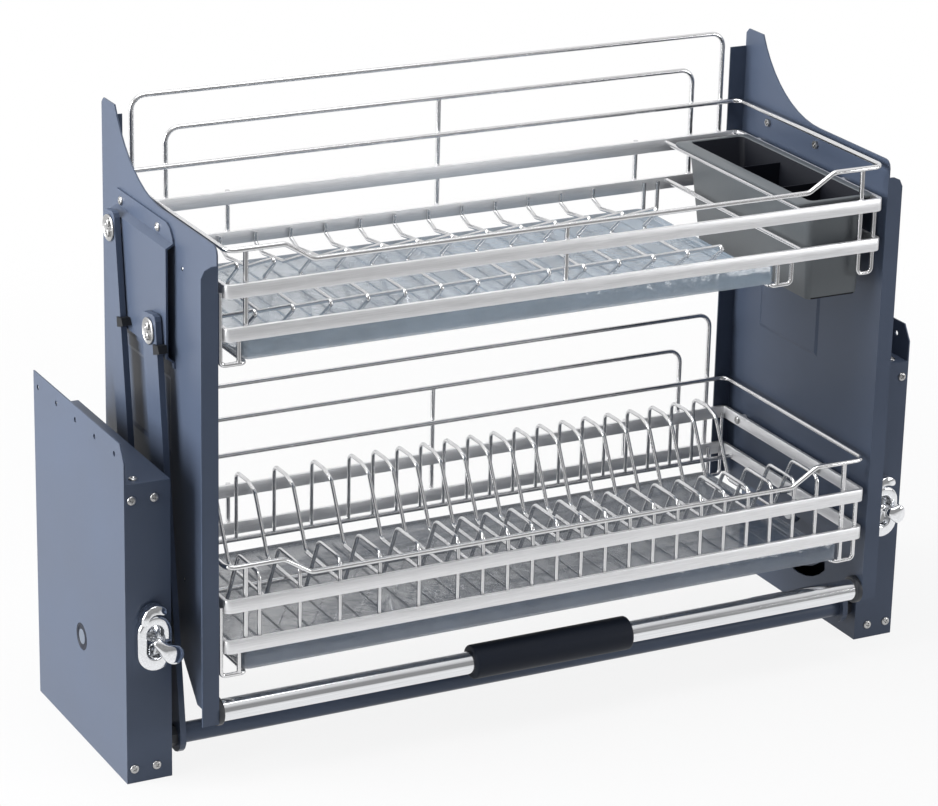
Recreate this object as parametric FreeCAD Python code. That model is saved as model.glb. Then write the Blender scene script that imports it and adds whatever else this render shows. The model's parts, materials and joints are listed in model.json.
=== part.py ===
import FreeCAD, Part
import math
import os

os.makedirs("parts", exist_ok=True)

# Overall driving dimensions, millimetres. X runs across the rack, -Y is the front, Z is up.
overall_width = 864.0
box_thickness = 45.8
box_depth = 232.4
box_height = 302.0
sheet = 1.5
flange_height = 39.0

# Linkage
arm_length = 394.0
arm_lean = 7.7
front_pivot_y = 17.5
front_pivot_z = 34.0
rear_pivot_y = 114.0
rear_pivot_z = 107.0
arm_thickness = 6.0
front_arm_width = 34.0
rear_arm_width = 28.0
arm_to_box = 9.2
arm_to_panel = 11.0
arm_head = 17.0

# Side panels
panel_front_y = -49.0
panel_back_y = 226.0
panel_step = 46.0
panel_shelf_z = 538.0
panel_peak_z = 609.0
panel_flange = 15.5
panel_back_flange = 19.0

# Baskets
tier_drop = 307.5
bar_height = 13.2
bar_thickness = 4.0
upper_bar_z = 488.0
lower_bar_z = 447.0
bar_front_y = -52.0
bar_back_y = 223.0
basket_gap = 5.5
rod_radius = 2.5
wire_radius = 2.0
foot_radius = 2.25

# Handle, below the lower basket
handle_y = -37.0
handle_drop = 62.0
handle_rise = 8.5
handle_radius = 11.0
grip_radius = 17.25
grip_half = 87.0

# Clearances
running_fit = 0.05
thread_gap = 0.1
curved_gap = 0.3
axial_gap = 0.1

# Flats on turned pieces and wires
pin_sides = 10
small_sides = 8
screw_sides = 6
wire_sides = 4
rod_sides = 6

# Levels and faces that follow from the driving dimensions
half_width = overall_width / 2.0
box_inner_x = half_width - box_thickness
arm_x1 = box_inner_x - arm_to_box
arm_x0 = arm_x1 - arm_thickness
panel_x1 = arm_x0 - arm_to_panel
panel_x0 = panel_x1 - sheet
basket_x = panel_x0 - basket_gap
lower_level = lower_bar_z - tier_drop
handle_z = lower_level - handle_drop
panel_bottom_z = handle_z - handle_rise
panel_step_z = panel_bottom_z + panel_step
lean = math.radians(arm_lean)
rise_y = arm_length * math.sin(lean)
rise_z = arm_length * math.cos(lean)
point_a = (front_pivot_y, front_pivot_z)
point_b = (front_pivot_y + rise_y, front_pivot_z + rise_z)
point_c = (rear_pivot_y, rear_pivot_z)
point_d = (rear_pivot_y + rise_y, rear_pivot_z + rise_z)
front_most = handle_y - grip_radius
shift_y = -(front_most + box_depth) / 2.0


def vec(x, y, z):
    return FreeCAD.Vector(x, y, z)


def block(x0, x1, y0, y1, z0, z1):
    corner = vec(min(x0, x1), min(y0, y1), min(z0, z1))
    return Part.makeBox(abs(x1 - x0), abs(y1 - y0), abs(z1 - z0), corner)


def rod(start, end, radius):
    direction = end.sub(start)
    return Part.makeCylinder(radius, direction.Length, start, direction)


def round_x(x0, x1, centre, radius):
    return rod(vec(x0, centre[0], centre[1]), vec(x1, centre[0], centre[1]), radius)


def polyhedron(rings, closed):
    """Solid through a row of matching rings of points."""
    faces = []
    count = len(rings)
    last = count if closed else count - 1
    for i in range(last):
        a = rings[i]
        b = rings[(i + 1) % count]
        for k in range(len(a)):
            m = (k + 1) % len(a)
            quad = Part.makePolygon([a[k], a[m], b[m], b[k], a[k]])
            faces.append(Part.Face(quad))
    if not closed:
        for ring in (rings[0], rings[-1]):
            faces.append(Part.Face(Part.makePolygon(ring + [ring[0]])))
    shell = Part.makeShell(faces)
    shell.sewShape()
    solid = Part.Solid(Part.Shell(shell.Faces))
    if solid.Volume < 0:
        solid.reverse()
    return solid


def turned(axis_start, direction, profile, sides):
    """Turned piece with flats, from (distance along the axis, radius to the corners) points.

    A profile that starts and ends on the axis is solid, any other one is a ring."""
    axis = vec(direction.x, direction.y, direction.z).normalize()
    seed = vec(0, 0, 1) if abs(axis.z) < 0.9 else vec(1, 0, 0)
    side = axis.cross(seed).normalize()
    up = side.cross(axis).normalize()
    rings = []
    for distance, radius in profile:
        if radius == 0.0:
            continue
        centre = axis_start.add(axis * distance)
        ring = []
        for k in range(sides):
            angle = math.pi * (2 * k + 1) / sides
            ring.append(centre.add(side * (radius * math.cos(angle))).add(up * (radius * math.sin(angle))))
        rings.append(ring)
    return polyhedron(rings, profile[0][1] > 0.0)


def over_flats(radius, sides):
    """Radius to the corners of a bore whose flats lie on the given radius."""
    return radius / math.cos(math.pi / sides)


def pin(start, end, radius, sides):
    """Straight piece with flats, its corners lie on the radius."""
    direction = end.sub(start)
    length = direction.Length
    return turned(start, direction, [(0.0, 0.0), (0.0, radius), (length, radius), (length, 0.0)], sides)


def pin_x(x0, x1, centre, radius, sides):
    return pin(vec(x0, centre[0], centre[1]), vec(x1, centre[0], centre[1]), radius, sides)


def bore(start, end, radius, sides):
    """Cutter whose flats lie on the radius, so that a pin of that radius turns in it."""
    return pin(start, end, over_flats(radius, sides), sides)


def bore_x(x0, x1, centre, radius, sides):
    return pin_x(x0, x1, centre, over_flats(radius, sides), sides)


def plate_x(outline, x0, x1):
    """Plate between two X levels with an outline of (y, z) points."""
    points = [vec(x0, y, z) for y, z in outline]
    face = Part.Face(Part.makePolygon(points + [points[0]]))
    return face.extrude(vec(x1 - x0, 0, 0))


def plate_y(outline, y0, y1):
    """Plate between two Y levels with an outline of (x, z) points."""
    points = [vec(x, y0, z) for x, z in outline]
    face = Part.Face(Part.makePolygon(points + [points[0]]))
    return face.extrude(vec(0, y1 - y0, 0))


def arc_points(centre, radius, start, end, steps):
    """Points on an arc in a plane, angles in degrees."""
    found = []
    for i in range(steps + 1):
        angle = math.radians(start + (end - start) * i / steps)
        found.append((centre[0] + radius * math.cos(angle), centre[1] + radius * math.sin(angle)))
    return found


def stadium(centre, width, height, steps=4):
    """Upright slot shape with round ends."""
    r = width / 2.0
    straight = height / 2.0 - r
    top = arc_points((centre[0], centre[1] + straight), r, 0, 180, steps)
    bottom = arc_points((centre[0], centre[1] - straight), r, 180, 360, steps)
    return top + bottom


def rounded_path(points, radius, steps=1, closed=False, least_turn=0.02):
    """Polyline whose corners above the least turn are eased by short chords."""
    found = []
    count = len(points)
    for i in range(count):
        here = points[i]
        if not closed and i in (0, count - 1):
            found.append(here)
            continue
        before = points[i - 1]
        after = points[(i + 1) % count]
        into = here.sub(before)
        out = after.sub(here)
        turn = into.getAngle(out)
        if turn < least_turn or radius <= 0.0:
            found.append(here)
            continue
        setback = radius * math.tan(turn / 2.0)
        setback = min(setback, 0.45 * into.Length, 0.45 * out.Length)
        bend = setback / math.tan(turn / 2.0)
        start = here.sub(vec(into.x, into.y, into.z).normalize() * setback)
        normal = into.cross(out).normalize()
        inward = normal.cross(into).normalize()
        centre = start.add(inward * bend)
        arm = start.sub(centre)
        for k in range(steps + 1):
            spin = FreeCAD.Rotation(normal, math.degrees(turn * k / steps))
            found.append(centre.add(spin.multVec(arm)))
    return found


def bent_rod(points, radius, sides=8, closed=False):
    """Rod of equal area with mitred joints along a polyline."""
    count = len(points)
    around = radius * math.sqrt(2.0 * math.pi / (sides * math.sin(2.0 * math.pi / sides)))
    half_step = math.pi / sides
    directions = []
    for i in range(count if closed else count - 1):
        directions.append(points[(i + 1) % count].sub(points[i]).normalize())
    first = directions[0]
    seed = vec(0, 0, 1) if abs(first.z) < 0.9 else vec(1, 0, 0)
    side = first.cross(seed).normalize()
    up = side.cross(first).normalize()
    ring = []
    for k in range(sides):
        angle = half_step + 2.0 * half_step * k
        ring.append(points[0].add(side * (around * math.cos(angle))).add(up * (around * math.sin(angle))))
    rings = []
    if closed:
        mitre = directions[-1].add(directions[0]).normalize()
        ring = [slide_to(p, directions[0], points[0], mitre) for p in ring]
    rings.append(ring)
    for i in range(1, count):
        along = directions[i - 1]
        if i < count - 1 or closed:
            mitre = along.add(directions[i]).normalize()
        else:
            mitre = along
        ring = [slide_to(p, along, points[i], mitre) for p in ring]
        rings.append(ring)
    return polyhedron(rings, closed)


def straight(start, end, radius, sides=8):
    return bent_rod([start, end], radius, sides)


def slide_to(point, along, origin, normal):
    """Moves a point along a line onto a plane."""
    distance = origin.sub(point).dot(normal) / along.dot(normal)
    return point.add(along * distance)


def mirrored(shape):
    return shape.mirror(vec(0, 0, 0), vec(1, 0, 0))


def both_sides(shapes):
    return shapes + [mirrored(s) for s in shapes]


nodes = {}


def keep(name, shape):
    """Registers a node, a list becomes a group of solids."""
    if isinstance(shape, list):
        shape = Part.makeCompound(shape)
    nodes[name] = shape


def keep_pair(name, shape):
    """The shape is drawn on the right and mirrored for the left."""
    keep(name + "_right", shape)
    keep(name + "_left", mirrored(shape))


# Screw sizes
face_screw_head = 4.5
face_screw_shank = 2.0
face_screw_length = 7.0
panel_screw_head = 4.5
panel_screw_shank = 2.5
head_height = 2.0


def screw(seat, direction, head, shank, length):
    """Round head screw, the seat is under the head and direction points into the work."""
    profile = [(-head_height, 0.0), (-head_height, head * 0.65), (0.0, head), (0.0, shank), (length, shank),
               (length, 0.0)]
    return turned(seat, direction, profile, screw_sides)


# Mechanism boxes: shell, inner plate and top angle
shell_x0 = box_inner_x + sheet
outer_skin_x = half_width - sheet
lip = 16.0
flange_x1 = outer_skin_x - 1.0
bush_bore = 6.0 + running_fit
bush_sleeve = 8.0
bush_collar = 11.0
shaft_radius = 6.0
plug_radius = 13.5
face_screw_x = (half_width - 7.4, half_width - 30.0)
face_screw_z = (14.5, box_height - 14.5)
anchor_y = 30.0
anchor_z = box_height - 27.0
anchor_radius = 5.0
knob_x = half_width - 26.0
knob_z = 143.0
spindle_z = knob_z + 5.0
spindle_radius = 3.5
spindle_gap = 0.5
top_screw_x = half_width - 14.0
top_screw_y = 12.0
flange_hole_radius = 2.6
flange_hole_z = box_height + 25.0
flange_hole_front = 23.0
flange_hole_back = 11.4
flange_pitch = (box_depth - flange_hole_front - flange_hole_back) / 4.0
flange_holes_y = [flange_hole_front + flange_pitch * i for i in range(5)]

shell = block(shell_x0, half_width, 0, box_depth, 0, box_height)
shell = shell.cut(block(0, outer_skin_x, sheet, box_depth - sheet, sheet, box_height + 1))
for y0 in (sheet, box_depth - sheet - lip):
    shell = shell.fuse(block(shell_x0, outer_skin_x, y0, y0 + lip, box_height - sheet, box_height))
shell = shell.removeSplitter()
for x in face_screw_x:
    for z in face_screw_z:
        shell = shell.cut(bore(vec(x, -1, z), vec(x, 4, z), face_screw_shank + thread_gap, screw_sides))
shell = shell.cut(bore(vec(knob_x, -1, spindle_z), vec(knob_x, 4, spindle_z), spindle_radius + spindle_gap,
                       small_sides))
plug_bore = plug_radius + running_fit
shell = shell.cut(bore_x(outer_skin_x - 1, half_width + 1, point_c, plug_bore, 2 * small_sides))
top_hole = bore(vec(top_screw_x, top_screw_y, box_height - 8), vec(top_screw_x, top_screw_y, box_height + 4),
                face_screw_shank + thread_gap, screw_sides)
shell = shell.cut(top_hole)
keep_pair("box_shell", shell)

crank_radius = 68.0
crank_start = 180.0
swing = 110.0
slot_half = 5.7
inner_plate = block(box_inner_x, shell_x0, 0, box_depth, 0, box_height)
for y0 in (sheet, box_depth - 2 * sheet):
    inner_plate = inner_plate.fuse(block(box_inner_x, flange_x1, y0, y0 + sheet, sheet, box_height - sheet))
inner_plate = inner_plate.removeSplitter()
for point in (point_a, point_c):
    inner_plate = inner_plate.cut(
        bore_x(box_inner_x - 1, shell_x0 + 1, point, bush_sleeve + running_fit, small_sides))
slot_outline = arc_points(point_c, crank_radius + slot_half, crank_start, crank_start + swing, 10)
slot_end = (point_c[0] + crank_radius * math.cos(math.radians(crank_start + swing)),
            point_c[1] + crank_radius * math.sin(math.radians(crank_start + swing)))
slot_outline += arc_points(slot_end, slot_half, crank_start + swing, crank_start + swing + 180, 4)[1:-1]
slot_outline += arc_points(point_c, crank_radius - slot_half, crank_start + swing, crank_start, 10)
slot_start = (point_c[0] - crank_radius, point_c[1])
slot_outline += arc_points(slot_start, slot_half, 0, 180, 4)[1:-1]
inner_plate = inner_plate.cut(plate_x(slot_outline, box_inner_x - 1, shell_x0 + 1))
for x in face_screw_x:
    for z in face_screw_z:
        inner_plate = inner_plate.cut(
            bore(vec(x, 1, z), vec(x, 4, z), face_screw_shank + thread_gap, screw_sides))
inner_plate = inner_plate.cut(
    bore(vec(knob_x, 1, spindle_z), vec(knob_x, 4, spindle_z), spindle_radius + spindle_gap, small_sides))
side_screw = (30.0, 14.0)
inner_plate = inner_plate.cut(
    bore_x(box_inner_x - 1, shell_x0 + 1, side_screw, face_screw_shank + thread_gap, screw_sides))
keep_pair("box_inner_plate", inner_plate)

chamfer = 10.0
flange_outline = [
    (0, box_height + sheet),
    (box_depth, box_height + sheet),
    (box_depth, box_height + flange_height),
    (chamfer, box_height + flange_height),
    (0, box_height + flange_height - 1.6 * chamfer),
]
top_angle = block(box_inner_x, half_width, 0, box_depth, box_height, box_height + sheet)
top_angle = top_angle.fuse(plate_x(flange_outline, outer_skin_x, half_width))
top_angle = top_angle.removeSplitter()
fixing_holes_y = (flange_holes_y[0], flange_holes_y[-1])
for y in flange_holes_y:
    span = (outer_skin_x - 1, half_width + 1, (y, flange_hole_z), flange_hole_radius)
    hole = round_x(*span) if y in fixing_holes_y else bore_x(*span, small_sides)
    top_angle = top_angle.cut(hole)
top_angle = top_angle.cut(top_hole)
keep_pair("box_top_angle", top_angle)

screws = []
for x in face_screw_x:
    for z in face_screw_z:
        screws.append(screw(vec(x, 0, z), vec(0, 1, 0), face_screw_head, face_screw_shank, face_screw_length))
screws.append(screw(vec(top_screw_x, top_screw_y, box_height + sheet), vec(0, 0, -1),
                    face_screw_head, face_screw_shank, face_screw_length))
screws.append(screw(vec(box_inner_x, side_screw[0], side_screw[1]), vec(1, 0, 0),
                    face_screw_head, face_screw_shank, face_screw_length))
keep("box_screws", both_sides(screws))

# Bushes of the four shafts, the single rear shafts also run in the outer skin
collar_start = arm_x1 + axial_gap
bush_hole = over_flats(bush_bore, small_sides)
inner_bush_profile = [
    (collar_start, bush_hole),
    (collar_start, bush_collar),
    (box_inner_x, bush_collar),
    (box_inner_x, bush_sleeve),
    (shell_x0 + 4.0, bush_sleeve),
    (shell_x0 + 4.0, bush_hole),
]
outer_bush_profile = [
    (outer_skin_x - 7.0, bush_hole),
    (outer_skin_x - 7.0, bush_collar - 1.0),
    (outer_skin_x, bush_collar - 1.0),
    (outer_skin_x, bush_hole),
]
bushes = [turned(vec(0, y, z), vec(1, 0, 0), inner_bush_profile, small_sides) for y, z in (point_a, point_c)]
bushes.append(turned(vec(0, point_c[0], point_c[1]), vec(1, 0, 0), outer_bush_profile, small_sides))
keep("pivot_bushes", both_sides(bushes))

plug = round_x(outer_skin_x, half_width, point_c, plug_radius)
keep("side_plugs", both_sides([plug]))

anchor = pin_x(shell_x0, outer_skin_x, (anchor_y, anchor_z), anchor_radius, small_sides)
keep("spring_anchors", both_sides([anchor]))

# Shafts, arms and the tube that keeps both sides level
tube_radius = 10.0
tube_bore = 8.0
shaft_end_x = outer_skin_x - 0.6
front_shaft_end_x = shell_x0 + 6.0
plug_depth = 24.0
front_shaft = turned(vec(0, point_a[0], point_a[1]), vec(1, 0, 0), [
    (arm_x0 - plug_depth, 0.0),
    (arm_x0 - plug_depth, tube_bore - running_fit),
    (arm_x0 - axial_gap, tube_bore - running_fit),
    (arm_x0 - axial_gap, shaft_radius),
    (front_shaft_end_x, shaft_radius),
    (front_shaft_end_x, 0.0),
], pin_sides)
keep_pair("front_shaft", front_shaft)
head_thickness = 2.5
rear_shaft = turned(vec(0, point_c[0], point_c[1]), vec(1, 0, 0), [
    (arm_x0 - head_thickness, 0.0),
    (arm_x0 - head_thickness, 9.0),
    (arm_x0, 10.0),
    (arm_x0, shaft_radius),
    (shaft_end_x, shaft_radius),
    (shaft_end_x, 0.0),
], pin_sides)
keep_pair("rear_shaft", rear_shaft)

tube = round_x(-arm_x0, arm_x0, point_a, tube_radius)
tube = tube.cut(bore_x(-arm_x0 - 1, arm_x0 + 1, point_a, tube_bore, small_sides))
keep("sync_tube", tube)

pivot_pin_radius = 9.0
arm_corner = 6.0


def arm_place(low, u, w):
    """Point at u across and w along an arm that stands on the pivot low."""
    return (low[0] + w * math.sin(lean) + u * math.cos(lean),
            low[1] + w * math.cos(lean) - u * math.sin(lean))


def arm_shape(width, low, high):
    """Flat arm, round at the foot and square with eased corners at the head."""
    half = width / 2.0
    top = arm_length + arm_head
    local = arc_points((0, 0), half, 180, 360, 8)
    local += arc_points((half - arm_corner, top - arm_corner), arm_corner, 0, 90, 2)
    local += arc_points((-half + arm_corner, top - arm_corner), arm_corner, 90, 180, 2)
    body = plate_x([arm_place(low, u, w) for u, w in local], arm_x0, arm_x1)
    body = body.cut(bore_x(arm_x0 - 1, arm_x1 + 1, low, shaft_radius + running_fit, small_sides))
    return body.cut(bore_x(arm_x0 - 1, arm_x1 + 1, high, pivot_pin_radius + running_fit, small_sides))


keep_pair("front_arm", arm_shape(front_arm_width, point_a, point_b))
keep_pair("rear_arm", arm_shape(rear_arm_width, point_c, point_d))

# Crank on the rear shaft, its pin and the spring that carries the load
crank_x0 = box_inner_x + 13.8
crank_x1 = crank_x0 + 8.0
disc_radius = 46.0
crank_pin_radius = 5.0
crank_lobe = 11.0
hub_radius = 14.0
crank = pin_x(crank_x0, crank_x1, point_c, disc_radius, 2 * pin_sides)
lobe_outline = [(slot_start[0], slot_start[1] + crank_lobe), (point_c[0], point_c[1] + 20.0),
                (point_c[0], point_c[1] - 20.0), (slot_start[0], slot_start[1] - crank_lobe)]
lobe_outline += arc_points(slot_start, crank_lobe, 270, 90, 4)[1:-1]
crank = crank.fuse(plate_x(lobe_outline, crank_x0, crank_x1))
hub_start = shell_x0 + 4.0 + axial_gap
crank = crank.fuse(pin_x(hub_start, crank_x0, point_c, hub_radius, pin_sides)).removeSplitter()
crank = crank.cut(bore_x(hub_start - 1, crank_x1 + 1, point_c, shaft_radius + running_fit, small_sides))
crank = crank.cut(bore_x(crank_x0 - 1, crank_x1 + 1, slot_start, crank_pin_radius + running_fit, small_sides))
keep_pair("crank", crank)
crank_pin = pin_x(box_inner_x - 1.2, outer_skin_x - 1.5, slot_start, crank_pin_radius, pin_sides)
keep_pair("crank_pin", crank_pin)

spring_x = half_width - 12.0
spring_coil_radius = 7.6
spring_wire = 1.4
spring_turns = 6
spring_steps = 6
eye_steps = 6
eye_radius = crank_pin_radius + spring_wire + 3.5 * curved_gap


def spring_path():
    """One centre line: eye around the crank pin, coil, eye around the anchor."""
    low = vec(spring_x, slot_start[0], slot_start[1])
    high = vec(spring_x, anchor_y, anchor_z)
    axis = high.sub(low)
    span = axis.Length
    axis.normalize()
    across = vec(1, 0, 0)
    inplane = axis.cross(across).normalize()
    path = []
    for i in range(eye_steps + 1):
        angle = math.radians(-320.0 + 230.0 * i / eye_steps)
        offset = axis.negative() * (eye_radius * math.cos(angle)) + inplane * (eye_radius * math.sin(angle))
        path.append(low.add(offset))
    coil_start = 26.0
    coil_end = span - 26.0
    total = spring_turns * spring_steps
    for i in range(total + 1):
        angle = 2.0 * math.pi * i / spring_steps + math.pi / 2.0
        distance = coil_start + (coil_end - coil_start) * i / total
        offset = inplane * (-spring_coil_radius * math.sin(angle))
        offset = offset + across * (spring_coil_radius * math.cos(angle)) + axis * distance
        path.append(low.add(offset))
    for i in range(eye_steps + 1):
        angle = math.radians(-90.0 + 230.0 * i / eye_steps)
        offset = axis.negative() * (eye_radius * math.cos(angle)) + inplane * (eye_radius * math.sin(angle))
        path.append(high.add(offset))
    return path


spring = bent_rod(spring_path(), spring_wire, wire_sides)
keep_pair("spring", spring)

# Brake block in front of the crank disc, its guide and the adjuster
guide_y0 = 60.0
guide_web = 4.0
guide_back = 75.0
block_half = 10.0
block_x0 = crank_x0 - 2.0
block_x1 = crank_x1 + 2.6
block_gap = 0.6
wall = 3.6
guide = block(shell_x0, block_x0 - axial_gap, guide_y0, guide_back, spindle_z - block_half - wall,
              spindle_z + block_half + wall)
guide = guide.fuse(block(shell_x0, block_x1, guide_y0, guide_y0 + guide_web,
                         spindle_z - block_half - wall, spindle_z + block_half + wall))
for z0 in (spindle_z - block_half - wall, spindle_z + block_half):
    guide = guide.fuse(block(shell_x0, block_x1, guide_y0, guide_back, z0, z0 + wall))
guide = guide.removeSplitter()
guide = guide.cut(bore(vec(knob_x, guide_y0 - 1, spindle_z), vec(knob_x, guide_y0 + guide_web + 1, spindle_z),
                       spindle_radius + running_fit, small_sides))
keep("brake_guides", both_sides([guide]))

block_start = guide_y0 + guide_web + 2.0
brake = block(block_x0, block_x1, block_start, point_c[0], spindle_z - block_half + axial_gap,
              spindle_z + block_half - axial_gap)
brake = brake.cut(round_x(block_x0 - 1, block_x1 + 1, point_c, disc_radius + block_gap))
brake = brake.cut(block(block_x0 - 1, block_x1 + 1, point_c[0] - 20.0, point_c[0] + 1,
                        spindle_z - 20, spindle_z + 20))
keep_pair("brake_block", brake)

plate_depth = 11.0
well_depth = 8.5
well_front = -plate_depth


def knob_outline(width, height):
    return stadium((knob_x, knob_z), width, height)


escutcheon = plate_y(knob_outline(34.5, 64.0), -plate_depth + 3.0, 0)
front_ring = [vec(x, -plate_depth, z) for x, z in knob_outline(29.0, 58.5)]
back_ring = [vec(x, -plate_depth + 3.0, z) for x, z in knob_outline(34.5, 64.0)]
escutcheon = escutcheon.fuse(polyhedron([back_ring, front_ring], False)).removeSplitter()
escutcheon = escutcheon.cut(plate_y(stadium((knob_x, knob_z + 3.0), 17.0, 34.0), -plate_depth - 1,
                                    -plate_depth + well_depth))
escutcheon = escutcheon.cut(bore(vec(knob_x, -plate_depth, spindle_z), vec(knob_x, 1, spindle_z),
                                 spindle_radius + spindle_gap, small_sides))
hook = [(knob_x - 3.0, knob_z + 27.0), (knob_x + 7.0, knob_z + 25.0), (knob_x + 11.5, knob_z + 19.0),
        (knob_x + 13.5, knob_z + 22.0), (knob_x + 9.5, knob_z + 30.0), (knob_x + 1.0, knob_z + 32.0),
        (knob_x - 4.0, knob_z + 31.0)]
escutcheon = escutcheon.fuse(plate_y(hook, -plate_depth - 5.0, -3.5)).removeSplitter()
keep("escutcheon_right", escutcheon)
keep("escutcheon_left", escutcheon.copy().translate(vec(-2 * knob_x, 0, 0)))

tongue_front = -plate_depth - 10.0
tongue_back = -plate_depth - 0.4
hub = pin(vec(knob_x, -plate_depth + 6.0, spindle_z), vec(knob_x, tongue_back - 3.0, spindle_z), 6.0,
          pin_sides)
link = [(knob_x - 5.5, spindle_z + 3.5), (knob_x + 2.0, spindle_z + 6.0), (knob_x + 12.0, spindle_z - 9.0),
        (knob_x + 13.0, spindle_z - 17.0), (knob_x - 3.0, spindle_z - 17.0)]
tongue = arc_points((knob_x + 17.0, spindle_z - 19.0), 8.0, -70, 80, 4)
tongue += [(knob_x + 6.0, spindle_z - 12.0), (knob_x - 3.0, spindle_z - 16.0),
           (knob_x - 4.0, spindle_z - 24.0), (knob_x + 6.0, spindle_z - 29.5)]
knob = hub.fuse(plate_y(link, tongue_back - 5.0, tongue_back))
knob = knob.fuse(plate_y(tongue, tongue_front, tongue_back)).removeSplitter()
knob = knob.cut(pin(vec(knob_x, tongue_front - 1, spindle_z), vec(knob_x, tongue_back + 3.0, spindle_z), 2.2,
                    screw_sides))
spindle = rod(vec(knob_x, -plate_depth + 6.0, spindle_z), vec(knob_x, block_start, spindle_z), spindle_radius)
for name, shape in (("adjuster_knob", knob), ("adjuster_spindle", spindle)):
    keep(name + "_right", shape)
    keep(name + "_left", shape.copy().translate(vec(-2 * knob_x, 0, 0)))

# Side panels: pressed sheet with an outward front flange and an inward back flange
curve_start_y = 80.0
curve_radius = 126.0
curve_centre = (curve_start_y, panel_shelf_z + curve_radius)
curve_end = math.degrees(math.asin((panel_peak_z - curve_centre[1]) / curve_radius))
front_round = 8.0
step_y = (panel_step_z - panel_bottom_z) * math.tan(math.radians(43.5))
outline = [(panel_front_y, panel_bottom_z), (0.0, panel_bottom_z), (step_y, panel_step_z),
           (panel_back_y, panel_step_z), (panel_back_y, panel_peak_z - 5.0),
           (panel_back_y - 5.0, panel_peak_z)]
outline += arc_points(curve_centre, curve_radius, curve_end, -90, 10)
outline += arc_points((panel_front_y + front_round, panel_shelf_z - front_round), front_round, 90, 180, 3)
panel = plate_x(outline, panel_x0, panel_x1)
flange_top = 520.0
flange_x = panel_x1 + panel_flange
front_flange = [(panel_x1, panel_bottom_z), (flange_x, panel_bottom_z), (flange_x, flange_top - 10.0),
                (flange_x - 3.5, flange_top - 3.0), (flange_x - 10.0, flange_top), (panel_x1, flange_top)]
panel = panel.fuse(plate_y(front_flange, panel_front_y, panel_front_y + sheet))
panel = panel.fuse(block(panel_x0 - panel_back_flange, panel_x0, panel_back_y - sheet, panel_back_y,
                         panel_step_z, panel_peak_z - 19.0))
panel = panel.removeSplitter()
emboss_y = (60.0, 170.0)
emboss_z = (300.0, 380.0)
emboss_depth = 1.4
emboss_draft = 4.0


def emboss(x0, depth, grow):
    """Low field with sloped edges, drawn twice to form it in the sheet."""
    low = []
    high = []
    for y, z, sy, sz in ((emboss_y[0], emboss_z[0], 1, 1), (emboss_y[1], emboss_z[0], -1, 1),
                         (emboss_y[1], emboss_z[1], -1, -1), (emboss_y[0], emboss_z[1], 1, -1)):
        low.append(vec(x0, y - sy * grow, z - sz * grow))
        high.append(vec(x0 - depth, y + sy * (emboss_draft - grow), z + sz * (emboss_draft - grow)))
    return polyhedron([low, high], False)


panel = panel.fuse(emboss(panel_x0, emboss_depth, 1.0))
panel = panel.cut(emboss(panel_x1, emboss_depth, 0.0))

# Pivot bracket: hat section on the outer face of the panel
bracket_sheet = 2.0
bracket_x1 = arm_x0 - 1.5
bracket_x0 = bracket_x1 - bracket_sheet
bracket_y0 = 47.0
bracket_y1 = 185.0
bracket_top = 530.0
bracket_bottom = 392.0
bend_top = 513.0
bend_bottom = 403.0
foot_top = 398.0
bracket_screws_yz = [(83.0, 520.0), (174.0, 520.0)]
hat = [
    (panel_x1, bracket_top),
    (panel_x1 + bracket_sheet, bracket_top),
    (panel_x1 + bracket_sheet, bend_top + 0.8),
    (bracket_x1, bend_top - 3.4),
    (bracket_x1, bend_bottom),
    (panel_x1 + bracket_sheet, foot_top - 0.8),
    (panel_x1 + bracket_sheet, bracket_bottom),
    (panel_x1, bracket_bottom),
    (panel_x1, foot_top + 0.3),
    (bracket_x0, bend_bottom + 1.1),
    (bracket_x0, bend_top - 4.5),
    (panel_x1, bend_top - 0.3),
]
bracket = plate_y(hat, bracket_y0, bracket_y1)
trim = [(bracket_y0 - 1, bracket_bottom - 1), (bracket_y1 + 1, bracket_bottom - 1),
        (bracket_y1 + 1, bracket_top + 1), (bracket_y0 + 18.0, bracket_top + 1),
        (bracket_y0 + 8.0, bracket_top - 4.0),
        (bracket_y0 + 1.5, bracket_top - 12.0), (bracket_y0 - 1, bracket_top - 22.0)]
bracket = bracket.common(plate_x(trim, panel_x1 - 1, bracket_x1 + 1))
for point in bracket_screws_yz:
    hole = bore_x(panel_x0 - 1, panel_x1 + bracket_sheet + 1, point, panel_screw_shank + thread_gap, screw_sides)
    bracket = bracket.cut(hole)
    panel = panel.cut(hole)
for point in (point_b, point_d):
    bracket = bracket.cut(
        bore_x(bracket_x0 - 1, bracket_x1 + 1, point, pivot_pin_radius + running_fit, small_sides))
bracket_screw = []
nut_height = 3.0
for point in bracket_screws_yz:
    seat = vec(panel_x1 + bracket_sheet, point[0], point[1])
    bracket_screw.append(screw(seat, vec(-1, 0, 0), panel_screw_head, panel_screw_shank,
                               bracket_sheet + sheet + nut_height - 0.4))
    nut_bore = over_flats(panel_screw_shank + thread_gap, screw_sides)
    bracket_screw.append(turned(vec(panel_x0, point[0], point[1]), vec(-1, 0, 0), [
        (0.0, nut_bore), (0.0, panel_screw_head), (nut_height, panel_screw_head), (nut_height, nut_bore)],
        screw_sides))
keep("bracket_screws", both_sides(bracket_screw))

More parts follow.
